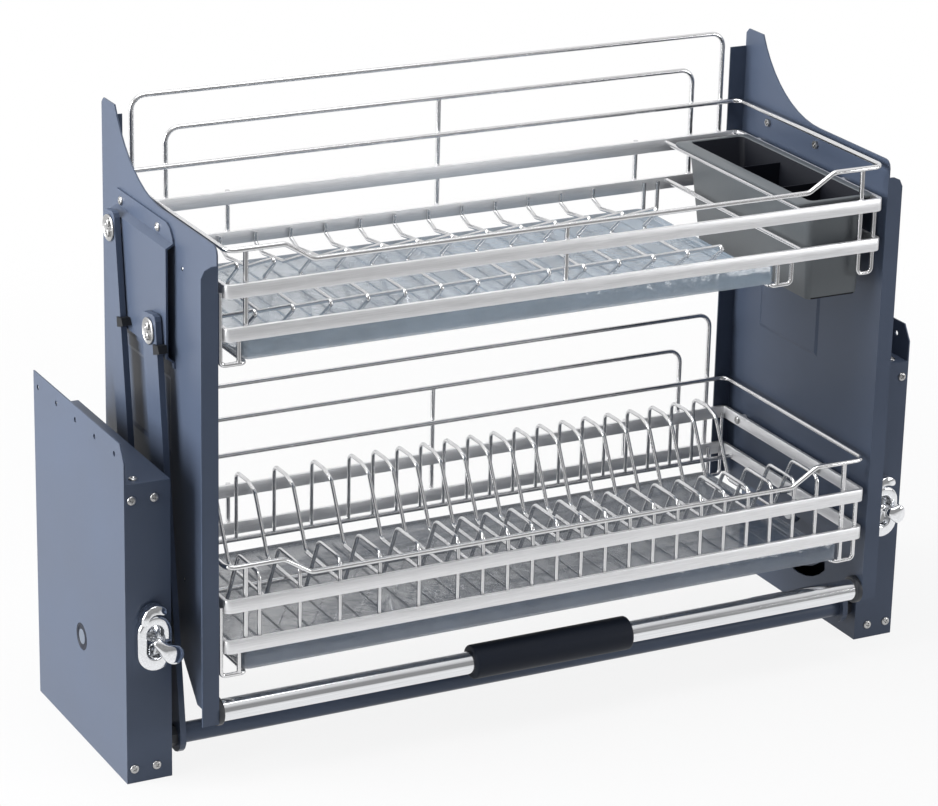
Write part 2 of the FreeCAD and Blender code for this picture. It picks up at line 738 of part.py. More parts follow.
# Upper pivots: riveted pins and round caps
cap_x0 = arm_x1 + 0.2
cap_thickness = 2.0
cap_radius = 13.0
pin_profile = [
    (bracket_x0 - 2.5, 0.0),
    (bracket_x0 - 2.5, 9.6),
    (bracket_x0, 10.8),
    (bracket_x0, pivot_pin_radius),
    (bracket_x1, pivot_pin_radius),
    (bracket_x1, 12.0),
    (arm_x0 - axial_gap, 12.0),
    (arm_x0 - axial_gap, pivot_pin_radius),
    (cap_x0, pivot_pin_radius),
    (cap_x0, 0.0),
]
pins = []
caps = []
for point in (point_b, point_d):
    pins.append(turned(vec(0, point[0], point[1]), vec(1, 0, 0), pin_profile, pin_sides))
    caps.append(round_x(cap_x0, cap_x0 + cap_thickness, point, cap_radius))
keep("pivot_pins", both_sides(pins))
keep("pivot_caps", both_sides(caps))
keep_pair("pivot_bracket", bracket)

# Rubber bumpers: clipped on the front edge of each arm, beside the lower bend of the bracket
bumper_level = bend_bottom + 6.0
bumper_reach = 10.0
bumper_grip = 5.0
bumper_x0 = bracket_x1 + curved_gap
bumper_x1 = arm_x1 + 2.0


def bumper(low, width):
    """Wedge that clips on an arm at the bumper level."""
    front = -width / 2.0
    w = (bumper_level - low[1]) / math.cos(lean)
    wedge = [(front - bumper_reach, w - 2.0), (front + bumper_grip, w - 5.0), (front + bumper_grip, w + 5.0),
             (front - bumper_reach + 3.0, w + 5.0)]
    body = plate_x([arm_place(low, u, v) for u, v in wedge], bumper_x0, bumper_x1)
    slot = [(front - running_fit, w - 9.0), (front + 9.0, w - 9.0), (front + 9.0, w + 9.0),
            (front - running_fit, w + 9.0)]
    outline = [arm_place(low, u, v) for u, v in slot]
    return body.cut(plate_x(outline, arm_x0 - running_fit, arm_x1 + running_fit))


keep("front_arm_bumpers", both_sides([bumper(point_a, front_arm_width)]))
keep_pair("rear_arm_bumper", bumper(point_c, rear_arm_width))

# Handle: tube between the panels, end collars and the rubber grip
collar_radius = 14.0
collar_length = 6.0
tube_end = panel_x0 - 1.0
handle = round_x(-tube_end, tube_end, (handle_y, handle_z), handle_radius)
handle_bore = handle_radius - 2.0
handle = handle.cut(bore_x(-tube_end - 1, tube_end + 1, (handle_y, handle_z), handle_bore, small_sides))
keep("handle_tube", handle)
handle_start = vec(0, handle_y, handle_z)
collar_sides = pin_sides + 2
collar_bore = over_flats(handle_radius + running_fit, collar_sides)
collar = turned(handle_start, vec(1, 0, 0), [
    (panel_x0, 0.0),
    (panel_x0, collar_radius),
    (panel_x0 - collar_length, collar_radius),
    (panel_x0 - collar_length, collar_bore),
    (tube_end, collar_bore),
    (tube_end, 0.0),
], collar_sides)
keep("handle_collars", both_sides([collar]))
grip_sides = 2 * pin_sides
grip_bore = over_flats(handle_radius + running_fit, grip_sides)
grip = turned(handle_start, vec(1, 0, 0), [
    (-grip_half, grip_bore),
    (-grip_half, grip_radius - 1.0),
    (-grip_half + 1.0, grip_radius),
    (grip_half - 1.0, grip_radius),
    (grip_half, grip_radius - 1.0),
    (grip_half, grip_bore),
], grip_sides)
keep("grip", grip)

# Basket frames
rail_z = 533.5
rail_dip_z = 516.0
rail_y = bar_front_y + bar_thickness - rod_radius
rail_back_y = bar_back_y - rod_radius
rail_x = basket_x - rod_radius
dip_half = 265.0
dip_slope = 28.0
strut_x = basket_x - 23.0
guard_top = 606.0
guard_inner_top = 570.5
guard_inner_x = 295.0
guard_post_x = 230.0
guard_y = bar_back_y + rod_radius
post_y = bar_front_y + bar_thickness + rod_radius
leg_top = lower_bar_z + 10.5
leg_high = upper_bar_z + 6.0
post_foot = leg_top + 0.4
fix_screws_y = (30.0, 190.0)
fix_z = upper_bar_z + bar_height / 2.0
sleeve_radius = 5.0
sleeve_bore = over_flats(face_screw_shank + thread_gap, screw_sides)
sharp_turn = math.radians(75.0)
hairpin_turn = math.radians(130.0)


def band(z0):
    """Flat bar bent to a closed rectangle."""
    outer = block(-basket_x, basket_x, bar_front_y, bar_back_y, z0, z0 + bar_height)
    inner = block(-basket_x + bar_thickness, basket_x - bar_thickness, bar_front_y + bar_thickness,
                  bar_back_y - bar_thickness, z0 - 1, z0 + bar_height + 1)
    return outer.cut(inner)


def frame_solids(post_xs):
    """Two bands, the top rail with its dip, posts and the sleeves to the panels."""
    solids = []
    upper_band = band(upper_bar_z)
    for x in (-1, 1):
        for y in fix_screws_y:
            upper_band = upper_band.cut(bore_x(x * (basket_x - 10), x * (basket_x + 1), (y, fix_z),
                                               face_screw_shank + thread_gap, screw_sides))
    solids.append(upper_band)
    solids.append(band(lower_bar_z))
    loop = [
        vec(-rail_x, rail_y, rail_z), vec(-dip_half - dip_slope, rail_y, rail_z),
        vec(-dip_half, rail_y, rail_dip_z), vec(dip_half, rail_y, rail_dip_z),
        vec(dip_half + dip_slope, rail_y, rail_z), vec(rail_x, rail_y, rail_z),
        vec(rail_x, rail_back_y, rail_z), vec(-rail_x, rail_back_y, rail_z),
    ]
    solids.append(bent_rod(rounded_path(loop, 10.0, 1, True, sharp_turn), rod_radius, rod_sides, True))
    for x in post_xs:
        top = rail_dip_z if abs(x) < dip_half else rail_z
        solids.append(straight(vec(x, post_y, post_foot), vec(x, post_y, top - rod_radius - 0.3), rod_radius))
    for x in (-1, 1):
        for y in fix_screws_y:
            solids.append(turned(vec(x * basket_x, y, fix_z), vec(x, 0, 0), [
                (0.0, sleeve_bore), (0.0, sleeve_radius),
                (basket_gap, sleeve_radius), (basket_gap, sleeve_bore)], screw_sides))
    return solids


def guard_solids():
    """Two nested loops behind the basket, the centre post and two short posts."""
    outer = [vec(-strut_x, guard_y, lower_bar_z), vec(-strut_x, guard_y, guard_top),
             vec(strut_x, guard_y, guard_top), vec(strut_x, guard_y, lower_bar_z)]
    inner = [vec(-guard_inner_x, guard_y, lower_bar_z), vec(-guard_inner_x, guard_y, guard_inner_top),
             vec(guard_inner_x, guard_y, guard_inner_top), vec(guard_inner_x, guard_y, lower_bar_z)]
    solids = [bent_rod(rounded_path(path, 12.0), rod_radius, rod_sides) for path in (outer, inner)]
    below = guard_inner_top - rod_radius - 0.3
    solids.append(straight(vec(0, guard_y, lower_bar_z), vec(0, guard_y, below), rod_radius))
    post_top = upper_bar_z + bar_height
    for x in (-guard_post_x, guard_post_x):
        solids.append(straight(vec(x, guard_y, lower_bar_z), vec(x, guard_y, post_top), rod_radius))
    return solids


def lowered(solids):
    return [s.copy().translate(vec(0, 0, -tier_drop)) for s in solids]


box_rods_x = (263.0, basket_x - 8.8)
box_rod_z = upper_bar_z + bar_height - rod_radius - 1.5
low_rod_z = lower_bar_z + bar_height + rod_radius
rod_front_y = bar_front_y + bar_thickness
rod_back_y = bar_back_y - bar_thickness
carriers = [straight(vec(x, rod_front_y, box_rod_z), vec(x, rod_back_y, box_rod_z), rod_radius)
            for x in box_rods_x]
carriers.append(straight(vec(box_rods_x[0] + 2.5, rod_front_y, low_rod_z - rod_radius - 4.0),
                         vec(box_rods_x[0] + 2.5, rod_back_y, low_rod_z - rod_radius - 4.0), rod_radius))
keep("upper_frame", frame_solids((-strut_x, 0.0, strut_x)) + carriers)
keep("lower_frame", lowered(frame_solids((-strut_x, strut_x))))
keep("upper_guard", guard_solids())
keep("lower_guard", lowered(guard_solids()))

# Screws through the side bars and the sleeves into the panels
fix_screws = []
for level in (fix_z, fix_z - tier_drop):
    for y in fix_screws_y:
        panel = panel.cut(
            bore_x(panel_x0 - 1, panel_x1 + 1, (y, level), face_screw_shank + thread_gap, screw_sides))
        fix_screws.append(screw(vec(basket_x - bar_thickness, y, level), vec(1, 0, 0),
                                face_screw_head, face_screw_shank, bar_thickness + basket_gap + sheet))
keep("basket_screws", both_sides(fix_screws))
keep_pair("side_panel", panel)

# Bowl wires: one two-tooth profile repeated across the upper basket
bowl_pitch = 38.0
bowl_count = 14
bowl_start = -317.6
bowl_back_y = bar_back_y - bar_thickness - wire_radius
bowl_front_y = bar_front_y + bar_thickness + wire_radius
bowl_profile = [
    (bowl_back_y, 458.0),
    (bowl_back_y, 447.0),
    (200.0, 441.0),
    (150.0, 447.0),
    (78.0, 477.0),
    (114.0, 445.6),
    (75.0, 441.0),
    (37.0, 441.0),
    (-49.5, 474.0),
    (-14.6, 446.0),
    (-28.0, 443.0),
    (bowl_front_y + 4.0, 442.5),
    (bowl_front_y, 449.0),
    (bowl_front_y, 458.0),
]


def wire_row(profile, ease, least_turn, positions):
    """The same bent wire at each X position."""
    path = rounded_path([vec(0, y, z) for y, z in profile], ease, 1, False, least_turn)
    wire = bent_rod(path, wire_radius, wire_sides)
    return [wire.copy().translate(vec(x, 0, 0)) for x in positions]


bowl_positions = [bowl_start + bowl_pitch * i for i in range(bowl_count)]
keep("bowl_wires", wire_row(bowl_profile, 2.5, hairpin_turn, bowl_positions))

# Plate wires: tall back leg, seat and front prong, wide pitch then narrow pitch
wide_pitch = 41.6
wide_count = 5
narrow_pitch = 27.07
narrow_count = 16
plate_start = -316.3
plate_back_y = 198.0
seat_z = lower_level + 12.5
prong_rise = 75.0
prong_z = lower_level + prong_rise
plate_profile = [
    (bowl_front_y, lower_level + 2.0),
    (bowl_front_y, prong_z),
    (2.0, prong_z),
    (33.0, seat_z),
    (120.0, seat_z),
    (152.0, prong_z - 3.0),
    (170.0, prong_z + 2.5),
    (plate_back_y, prong_z + 2.0),
    (plate_back_y, seat_z - 5.5),
]
narrow_start = plate_start + wide_pitch * wide_count
plate_positions = [plate_start + wide_pitch * i for i in range(wide_count)]
plate_positions += [narrow_start + narrow_pitch * i for i in range(narrow_count)]
plate_wires = wire_row(plate_profile, 7.0, hairpin_turn, plate_positions)
cross_reach = basket_x - bar_thickness
plate_rod_y = 76.0
for y, z in ((plate_back_y, seat_z - 6.0 - rod_radius), (plate_rod_y, seat_z - wire_radius - rod_radius)):
    plate_wires.append(straight(vec(-cross_reach, y, z), vec(cross_reach, y, z), rod_radius))
keep("plate_wires", plate_wires)

# Tray runners: feet under the bars with a runner from front to back
foot_drop = 23.0
foot_z = lower_bar_z - foot_drop
leg_front_y = bar_front_y + bar_thickness + foot_radius
leg_back_y = bar_back_y - bar_thickness - foot_radius
leg_outer_x = basket_x - bar_thickness - foot_radius - 0.4
left_leg_x = -basket_x - 1.12 * foot_radius
leg_pitch = 16.0
left_pitch = 18.6
runner_inset = 6.5


def runner(outer_x, inner_x, short_x, top):
    """Bent runner with one short leg beside it at the front and at the back."""
    path = [vec(outer_x, leg_front_y, top), vec(outer_x, leg_front_y, foot_z),
            vec(inner_x, leg_front_y, foot_z), vec(inner_x, leg_back_y, foot_z),
            vec(outer_x, leg_back_y, foot_z), vec(outer_x, leg_back_y, top)]
    solids = [bent_rod(rounded_path(path, 4.0), foot_radius, rod_sides)]
    for y in (leg_front_y, leg_back_y):
        foot = vec(short_x, y, foot_z + 1.12 * foot_radius)
        solids.append(straight(foot, vec(short_x, y, leg_top), foot_radius))
    return solids


leg_inner_x = leg_outer_x - leg_pitch
left_inner_x = left_leg_x + left_pitch
middle_x = 237.0
upper_runners = runner(left_leg_x, left_inner_x + runner_inset, left_inner_x, leg_high)
upper_runners += runner(middle_x + leg_pitch, middle_x - runner_inset, middle_x, leg_top)
end_path = [vec(leg_outer_x, leg_front_y, leg_high), vec(leg_outer_x, leg_front_y, foot_z),
            vec(leg_inner_x, leg_front_y, foot_z), vec(leg_inner_x, leg_front_y, leg_top)]
end_foot = bent_rod(rounded_path(end_path, 4.0), foot_radius, rod_sides)
upper_runners.append(end_foot)
upper_runners.append(end_foot.copy().translate(vec(0, leg_back_y - leg_front_y, 0)))
keep("upper_runners", upper_runners)
lower_runners = runner(left_leg_x, left_inner_x + runner_inset, left_inner_x, leg_high)
lower_runners += runner(leg_outer_x, leg_inner_x - runner_inset, leg_inner_x, leg_high)
keep("lower_runners", lowered(lower_runners))

# Drip trays: low back edge so that they pass under the wires when pulled out
tray_wall = 1.6
tray_z = foot_z + foot_radius + curved_gap
tray_front_y = leg_front_y - foot_radius + 0.2
tray_back_y = leg_back_y - foot_radius - 2.0
tray_front_top = lower_bar_z - 1.2
tray_back_top = tray_z + 5.2
tray_side_gap = foot_radius + 1.2


def tray(x0, x1, dz):
    """Shallow tray with a sloped rim line, higher at the front."""
    side = [(tray_front_y, tray_z), (tray_back_y, tray_z), (tray_back_y, tray_back_top),
            (tray_front_y + 22.0, tray_back_top), (tray_front_y + 6.0, tray_front_top),
            (tray_front_y, tray_front_top)]
    body = plate_x(side, x0, x1)
    floor = tray_z + tray_wall
    hollow = [(tray_front_y + tray_wall, floor), (tray_back_y - tray_wall, floor),
              (tray_back_y - tray_wall, tray_front_top + 1), (tray_front_y + tray_wall, tray_front_top + 1)]
    body = body.cut(plate_x(hollow, x0 + tray_wall, x1 - tray_wall))
    return body.translate(vec(0, 0, dz))


keep("upper_tray", tray(left_inner_x + tray_side_gap, middle_x - tray_side_gap, 0.0))
keep("lower_tray", tray(left_inner_x + tray_side_gap, leg_inner_x - tray_side_gap, -tier_drop))

# Cutlery box: tapered walls, an outward lip and two dividers
box_wall = 2.0
lip_z = box_rod_z + rod_radius + curved_gap
lip_height = 3.2
lip_x = (box_rods_x[0] - 3.5, box_rods_x[1] + 3.0)
lip_y = (post_y + rod_radius + 0.8, 199.0)
mouth_x = (box_rods_x[0] + 11.0, box_rods_x[1] - 3.0)
mouth_y = (lip_y[0] + 3.0, lip_y[1] - 4.0)
base_x = (mouth_x[0] + 4.5, mouth_x[1] - 3.5)
base_y = (mouth_y[0] + 1.5, mouth_y[1] - 20.0)
base_z = 400.0


def rect_ring(x, y, z, inset=0.0):
    return [vec(x[0] + inset, y[0] + inset, z), vec(x[1] - inset, y[0] + inset, z),
            vec(x[1] - inset, y[1] - inset, z), vec(x[0] + inset, y[1] - inset, z)]


body = polyhedron([rect_ring(base_x, base_y, base_z), rect_ring(mouth_x, mouth_y, lip_z)], False)
body = body.fuse(block(lip_x[0], lip_x[1], lip_y[0], lip_y[1], lip_z, lip_z + lip_height))
cavity = polyhedron([rect_ring(base_x, base_y, base_z + box_wall, box_wall),
                     rect_ring(mouth_x, mouth_y, lip_z + lip_height + 1, box_wall)], False)
inside = cavity.copy()
body = body.cut(cavity)
for share in (0.34, 0.67):
    y = mouth_y[0] + share * (mouth_y[1] - mouth_y[0])
    divider = block(mouth_x[0], mouth_x[1], y, y + box_wall, base_z + box_wall, lip_z - 6.0)
    body = body.fuse(divider.common(inside))
body = body.removeSplitter()
keep("cutlery_box", body)

for name in sorted(nodes):
    shape = nodes[name].copy()
    shape.translate(vec(0, shift_y, 0))
    shape.exportStep(os.path.join("parts", name + ".step"))
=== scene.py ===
import math

import bmesh
import bpy
from mathutils import Matrix, Vector
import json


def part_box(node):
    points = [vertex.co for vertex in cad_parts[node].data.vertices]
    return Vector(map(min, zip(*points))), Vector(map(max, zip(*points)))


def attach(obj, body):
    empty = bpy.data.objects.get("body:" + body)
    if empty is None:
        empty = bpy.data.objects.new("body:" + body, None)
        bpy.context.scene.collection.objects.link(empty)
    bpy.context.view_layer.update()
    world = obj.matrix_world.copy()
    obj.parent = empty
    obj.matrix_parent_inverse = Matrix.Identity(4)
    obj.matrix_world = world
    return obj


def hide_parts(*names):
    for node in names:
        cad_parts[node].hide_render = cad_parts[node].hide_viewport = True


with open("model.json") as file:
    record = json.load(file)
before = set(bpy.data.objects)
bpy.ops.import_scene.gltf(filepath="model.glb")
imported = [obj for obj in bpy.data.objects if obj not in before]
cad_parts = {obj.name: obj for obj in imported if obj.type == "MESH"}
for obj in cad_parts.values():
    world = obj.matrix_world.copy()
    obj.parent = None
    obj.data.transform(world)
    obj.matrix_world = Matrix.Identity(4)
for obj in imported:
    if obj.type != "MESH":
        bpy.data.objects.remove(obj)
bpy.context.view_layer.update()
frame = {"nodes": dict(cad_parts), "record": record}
nodes = frame["nodes"]

# Sizes are in millimetres, with X across, -Y to the front, Z up and y = 0 on the front of the boxes
FRONT_Y = round(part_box("box_shell_right")[0].y * 1000, 3)


def corners(node):
    """Lowest and highest corner of a CAD node."""
    return [(round(corner.x * 1000, 3), round(corner.y * 1000 - FRONT_Y, 3), round(corner.z * 1000, 3))
            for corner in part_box(node)]


def middle(node):
    """Centre of a CAD node's box."""
    low, high = corners(node)
    return [(a + b) / 2 for a, b in zip(low, high)]


def at(x, y, z):
    """Point in metres in the row frame."""
    return Vector((x, y + FRONT_Y, z)) * 0.001


def spot(x, y, z):
    """Point in millimetres."""
    return Vector((x, y, z))


# Sizes that come from the frame
HALF_WIDTH = corners("box_shell_right")[1][0]
ARM_X = corners("front_arm_right")[1][0]
INNER_PLATE_X = corners("box_inner_plate_right")[0][0]
COVER_Z = corners("box_top_angle_right")[0][2]
BRACKET_X = corners("pivot_bracket_right")[0][0]
GRIP_HALF = corners("grip")[1][0]
(_, _, LOWER_BAR_Z), (PANEL_X, BAR_BACK, _) = corners("upper_frame")
TIER = LOWER_BAR_Z - corners("lower_frame")[0][2]
KNOB_X, _, SPINDLE_Z = middle("adjuster_spindle_right")
_, *REAR_SHAFT = middle("side_plugs")
_, *HANDLE = middle("handle_tube")

# Sizes of the baskets and places of the rack's two pivots, as in the solids
SLEEVE = 5.5
BASKET_DEPTH = 275.0
BAR_RISE = 41.0
BASKET_X = PANEL_X - SLEEVE
BAR_FRONT = BAR_BACK - BASKET_DEPTH
UPPER_BAR_Z = LOWER_BAR_Z + BAR_RISE
BAR = 4.0
BAR_H = 13.2
ROD = 2.5
WIRE = 2.0
FOOT = 2.25
WELD = 0.5
LOWER_PIVOT = (70.29, 424.45)
UPPER_PIVOT = (166.79, 497.45)


def link(name, data, body):
    piece = bpy.data.objects.new(name, data)
    bpy.context.scene.collection.objects.link(piece)
    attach(piece, body)
    return piece


# Materials, with the part of the noise's range that changes tone and gloss
NOISE_LOW = 0.3
NOISE_HIGH = 0.7


def new_material(name, color, metallic, roughness):
    material = bpy.data.materials.new(name)
    material.use_nodes = True
    tree = material.node_tree
    shader = tree.nodes["Principled BSDF"]
    shader.inputs["Base Color"].default_value = (*color, 1.0)
    shader.inputs["Metallic"].default_value = metallic
    shader.inputs["Roughness"].default_value = roughness
    return material, tree, shader


def coords(tree, scale=(1.0, 1.0, 1.0)):
    place = tree.nodes.new("ShaderNodeTexCoord")
    mapping = tree.nodes.new("ShaderNodeMapping")
    mapping.inputs["Scale"].default_value = scale
    tree.links.new(place.outputs["Object"], mapping.inputs["Vector"])
    return mapping.outputs["Vector"]


def noise(tree, vector, scale, detail, rough=0.5):
    node = tree.nodes.new("ShaderNodeTexNoise")
    node.inputs["Scale"].default_value = scale
    node.inputs["Detail"].default_value = detail
    node.inputs["Roughness"].default_value = rough
    tree.links.new(vector, node.inputs["Vector"])
    return node.outputs["Fac"]


def vary_color(tree, shader, value, color, down, up):
    """Base colour that drifts between a darker and a lighter tone."""
    node = tree.nodes.new("ShaderNodeValToRGB")
    low, high = node.color_ramp.elements
    low.position = NOISE_LOW
    low.color = (*[c * down for c in color], 1.0)
    high.position = NOISE_HIGH
    high.color = (*[min(1.0, c * up) for c in color], 1.0)
    tree.links.new(value, node.inputs["Fac"])
    tree.links.new(node.outputs["Color"], shader.inputs["Base Color"])


def vary_roughness(tree, shader, value, low, high):
    """Roughness that drifts between two values."""
    node = tree.nodes.new("ShaderNodeMapRange")
    node.inputs["From Min"].default_value = NOISE_LOW
    node.inputs["From Max"].default_value = NOISE_HIGH
    node.inputs["To Min"].default_value = low
    node.inputs["To Max"].default_value = high
    tree.links.new(value, node.inputs["Value"])
    tree.links.new(node.outputs["Result"], shader.inputs["Roughness"])


def bump(tree, shader, height, strength, distance):
    node = tree.nodes.new("ShaderNodeBump")
    node.inputs["Strength"].default_value = strength
    node.inputs["Distance"].default_value = distance
    tree.links.new(height, node.inputs["Height"])
    tree.links.new(node.outputs["Normal"], shader.inputs["Normal"])


def paint_material(name, color, roughness):
    """Powder coat: fine orange peel, slight cloud in tone and gloss."""
    material, tree, shader = new_material(name, color, 0.0, roughness)
    vector = coords(tree)
    cloud = noise(tree, vector, 9.0, 4.0)
    vary_color(tree, shader, cloud, color, 0.93, 1.08)
    vary_roughness(tree, shader, cloud, roughness - 0.04, roughness + 0.05)
    shader.inputs["Specular IOR Level"].default_value = 0.22
    shader.inputs["Coat Weight"].default_value = 0.04
    shader.inputs["Coat Roughness"].default_value = 0.3
    bump(tree, shader, noise(tree, vector, 900.0, 2.0), 0.12, 0.0004)
    return material


def steel_material(name, color, roughness, grain=(40.0, 40.0, 40.0), change=0.05, strength=0.06,
                   metallic=1.0):
    """Bare metal with a drawn or brushed grain."""
    material, tree, shader = new_material(name, color, metallic, roughness)
    streak = noise(tree, coords(tree, grain), 20.0, 3.0, 0.6)
    vary_color(tree, shader, streak, color, 0.9, 1.06)
    vary_roughness(tree, shader, streak, roughness - change, roughness + change)
    bump(tree, shader, streak, strength, 0.0002)
    return material


def plastic_material(name, color, roughness, grain=700.0, strength=0.15, gloss=0.5):
    """Moulded plastic or rubber with a fine speckled skin."""
    material, tree, shader = new_material(name, color, 0.0, roughness)
    shader.inputs["Specular IOR Level"].default_value = gloss
    vector = coords(tree)
    cloud = noise(tree, vector, 14.0, 3.0)
    vary_color(tree, shader, cloud, color, 0.92, 1.08)
    vary_roughness(tree, shader, cloud, roughness - 0.05, roughness + 0.05)
    bump(tree, shader, noise(tree, vector, grain, 2.0), strength, 0.0003)
    return material


def tray_material(name, color, alpha):
    """Clear tinted plastic: mostly see-through, with a faint ripple."""
    material, tree, shader = new_material(name, color, 0.0, 0.16)
    vector = coords(tree)
    vary_color(tree, shader, noise(tree, vector, 22.0, 3.0), color, 0.88, 1.08)
    shader.inputs["Alpha"].default_value = alpha
    shader.inputs["IOR"].default_value = 1.49
    shader.inputs["Coat Weight"].default_value = 0.9
    shader.inputs["Coat Roughness"].default_value = 0.05
    bump(tree, shader, noise(tree, vector, 75.0, 2.0), 0.7, 0.003)
    return material


FINE_GRAIN = (60.0, 60.0, 60.0)
paint = paint_material("blue_grey_paint", (0.06, 0.078, 0.118), 0.36)
stainless = steel_material("stainless_wire", (0.74, 0.74, 0.75), 0.2)
bar_steel = steel_material("stainless_bar", (0.8, 0.8, 0.81), 0.42, (2.0, 2.0, 90.0), 0.06, 0.05, 0.7)
chrome = steel_material("chrome", (0.82, 0.83, 0.85), 0.08, (30.0, 30.0, 30.0), 0.03, 0.02)
tube_chrome = steel_material("tube_chrome", (0.78, 0.79, 0.81), 0.13, (1.0, 60.0, 60.0), 0.04, 0.03)
zinc = steel_material("zinc", (0.44, 0.44, 0.44), 0.32, FINE_GRAIN, 0.08, 0.06)
machined = steel_material("machined_steel", (0.42, 0.43, 0.45), 0.34, FINE_GRAIN, 0.08, 0.08)
spring_steel = steel_material("spring_steel", (0.3, 0.31, 0.33), 0.38, FINE_GRAIN, 0.08, 0.06)
dark_plastic = plastic_material("dark_plastic", (0.018, 0.021, 0.028), 0.45)
rubber = plastic_material("grip_rubber", (0.006, 0.009, 0.017), 0.55, 1500.0, 0.35, 0.18)
bumper_rubber = plastic_material("bumper_rubber", (0.008, 0.009, 0.011), 0.55, 900.0, 0.3, 0.2)
plug_plastic = plastic_material("plug_plastic", (0.11, 0.13, 0.165), 0.4, 700.0, 0.15, 0.3)
plug_groove = plastic_material("plug_groove", (0.012, 0.015, 0.024), 0.5, 700.0, 0.15, 0.2)
box_plastic = plastic_material("box_plastic", (0.1, 0.11, 0.117), 0.4, 420.0, 0.2, 0.3)
# Near-black copy of the box plastic: painted shade for the inside of the cutlery box
box_inside_painted_shade = plastic_material("box_inside_painted_shade", (0.008, 0.009, 0.013), 0.5, 420.0, 0.2, 0.12)
lining = plastic_material("brake_lining", (0.035, 0.03, 0.026), 0.8, 300.0, 0.6)
tray_plastic = tray_material("tray_plastic", (0.26, 0.33, 0.4), 0.62)
# Darker copy of the same tray plastic: painted shade and painted reflection of the basket above, for the
# lower tray
tray_plastic_painted_shade = tray_material("tray_plastic_painted_shade", (0.13, 0.165, 0.22), 0.7)

BY_SLOT = {
    "dark_paint": paint,
    "zinc_screws": zinc,
    "bush_plastic": dark_plastic,
    "plug_grey": plug_plastic,
    "chrome": chrome,
    "shaft_steel": machined,
    "spring_steel": spring_steel,
    "brake_lining": lining,
    "black_rubber": bumper_rubber,
    "stainless": stainless,
    "clear_plastic": tray_plastic,
    "grey_plastic": box_plastic,
}
for part in frame["record"]["subparts"]:
    node = nodes[part["node"]]
    node.data.materials.clear()
    node.data.materials.append(BY_SLOT[part["material_slot"]])
nodes["handle_tube"].data.materials[0] = tube_chrome


# Mesh and curve helpers
def eased(points, radius, steps=6, closed=False):
    """Polyline with each corner turned on an arc of the radius."""
    straight = 0.03
    most = 0.48
    found = []
    count = len(points)
    for i, here in enumerate(points):
        if not closed and i in (0, count - 1):
            found.append(here)
            continue
        before = points[i - 1]
        after = points[(i + 1) % count]
        into = here - before
        out = after - here
        turn = into.angle(out)
        if turn < straight:
            found.append(here)
            continue
        reach = min(radius * math.tan(turn / 2), most * into.length, most * out.length)
        bend = reach / math.tan(turn / 2)
        start = here - into.normalized() * reach
        normal = into.cross(out).normalized()
        centre = start + normal.cross(into).normalized() * bend
        arm = start - centre
        parts = max(2, round(steps * turn / (math.pi / 2)))
        for k in range(parts + 1):
            found.append(centre + Matrix.Rotation(turn * k / parts, 3, normal) @ arm)
    return found


def lifted(runs, lift):
    """The same runs at another height."""
    return [([p + spot(0, 0, lift) for p in points], radius, closed) for points, radius, closed in runs]


def rods(name, runs, replaced):
    """Round wires of the rack, one piece for each radius; runs are (points, radius, closed)."""
    groups = {}
    for points, radius, closed in runs:
        groups.setdefault(radius, []).append((points, closed))
    for radius, lines in groups.items():
        curve = bpy.data.curves.new(name, "CURVE")
        curve.dimensions = "3D"
        curve.bevel_depth = radius * 0.001
        curve.bevel_resolution = 3
        curve.use_fill_caps = True
        for points, closed in lines:
            spline = curve.splines.new("POLY")
            spline.points.add(len(points) - 1)
            for target, point in zip(spline.points, points):
                target.co = (*at(*point), 1.0)
            spline.use_cyclic_u = closed
            spline.use_smooth = True
        drawn = bpy.data.objects.new(name, curve)
        bpy.context.scene.collection.objects.link(drawn)
        graph = bpy.context.evaluated_depsgraph_get()
        mesh = bpy.data.meshes.new_from_object(drawn.evaluated_get(graph))
        bpy.data.objects.remove(drawn)
        bpy.data.curves.remove(curve)
        mesh.materials.clear()
        label = name if len(groups) == 1 else name + "_%d" % round(radius * 100)
        piece = link(label, mesh, "rack")
        mesh.materials.append(stainless)
        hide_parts(*replaced)


def solid(name, bm, body, material, replaced=(), smooth=40.0):
    """Turns a bmesh in millimetres into a piece."""
    bmesh.ops.remove_doubles(bm, verts=bm.verts, dist=1e-4)
    bmesh.ops.recalc_face_normals(bm, faces=bm.faces)
    for vert in bm.verts:
        vert.co = at(*vert.co)
    for face in bm.faces:
        face.smooth = True
    for edge in bm.edges:
        if len(edge.link_faces) == 2 and edge.calc_face_angle(0.0) > math.radians(smooth):
            edge.smooth = False
    mesh = bpy.data.meshes.new(name)
    bm.to_mesh(mesh)
    bm.free()
    piece = link(name, mesh, body)
    mesh.materials.append(material)
    if replaced:
        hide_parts(*replaced)
    return piece


def soften(piece, width):
    """Rounds the sharp edges of a piece."""
    modifier = piece.modifiers.new("edges", "BEVEL")
    modifier.width = width * 0.001
    modifier.segments = 2
    modifier.limit_method = "ANGLE"
    modifier.angle_limit = math.radians(35.0)
    modifier.harden_normals = False


def bridge(bm, loops, closed=False, caps=(True, True)):
    """Skin over matching closed loops of points, with a cap on the first and last loop."""
    rings = [[bm.verts.new(p) for p in loop] for loop in loops]
    count = len(rings[0])
    last = len(rings) if closed else len(rings) - 1
    for i in range(last):
        a = rings[i]
        b = rings[(i + 1) % len(rings)]
        for k in range(count):
            m = (k + 1) % count
            bm.faces.new((a[k], a[m], b[m], b[k]))
    for ring, capped in zip((rings[0], rings[-1]), caps):
        if capped:
            bm.faces.new(ring)


def cross_axes(direction):
    """Unit vector along the direction and one across it."""
    axis = Vector(direction).normalized()
    seed = Vector((0, 0, 1)) if abs(axis.z) < 0.9 else Vector((1, 0, 0))
    return axis, axis.cross(seed).normalized()


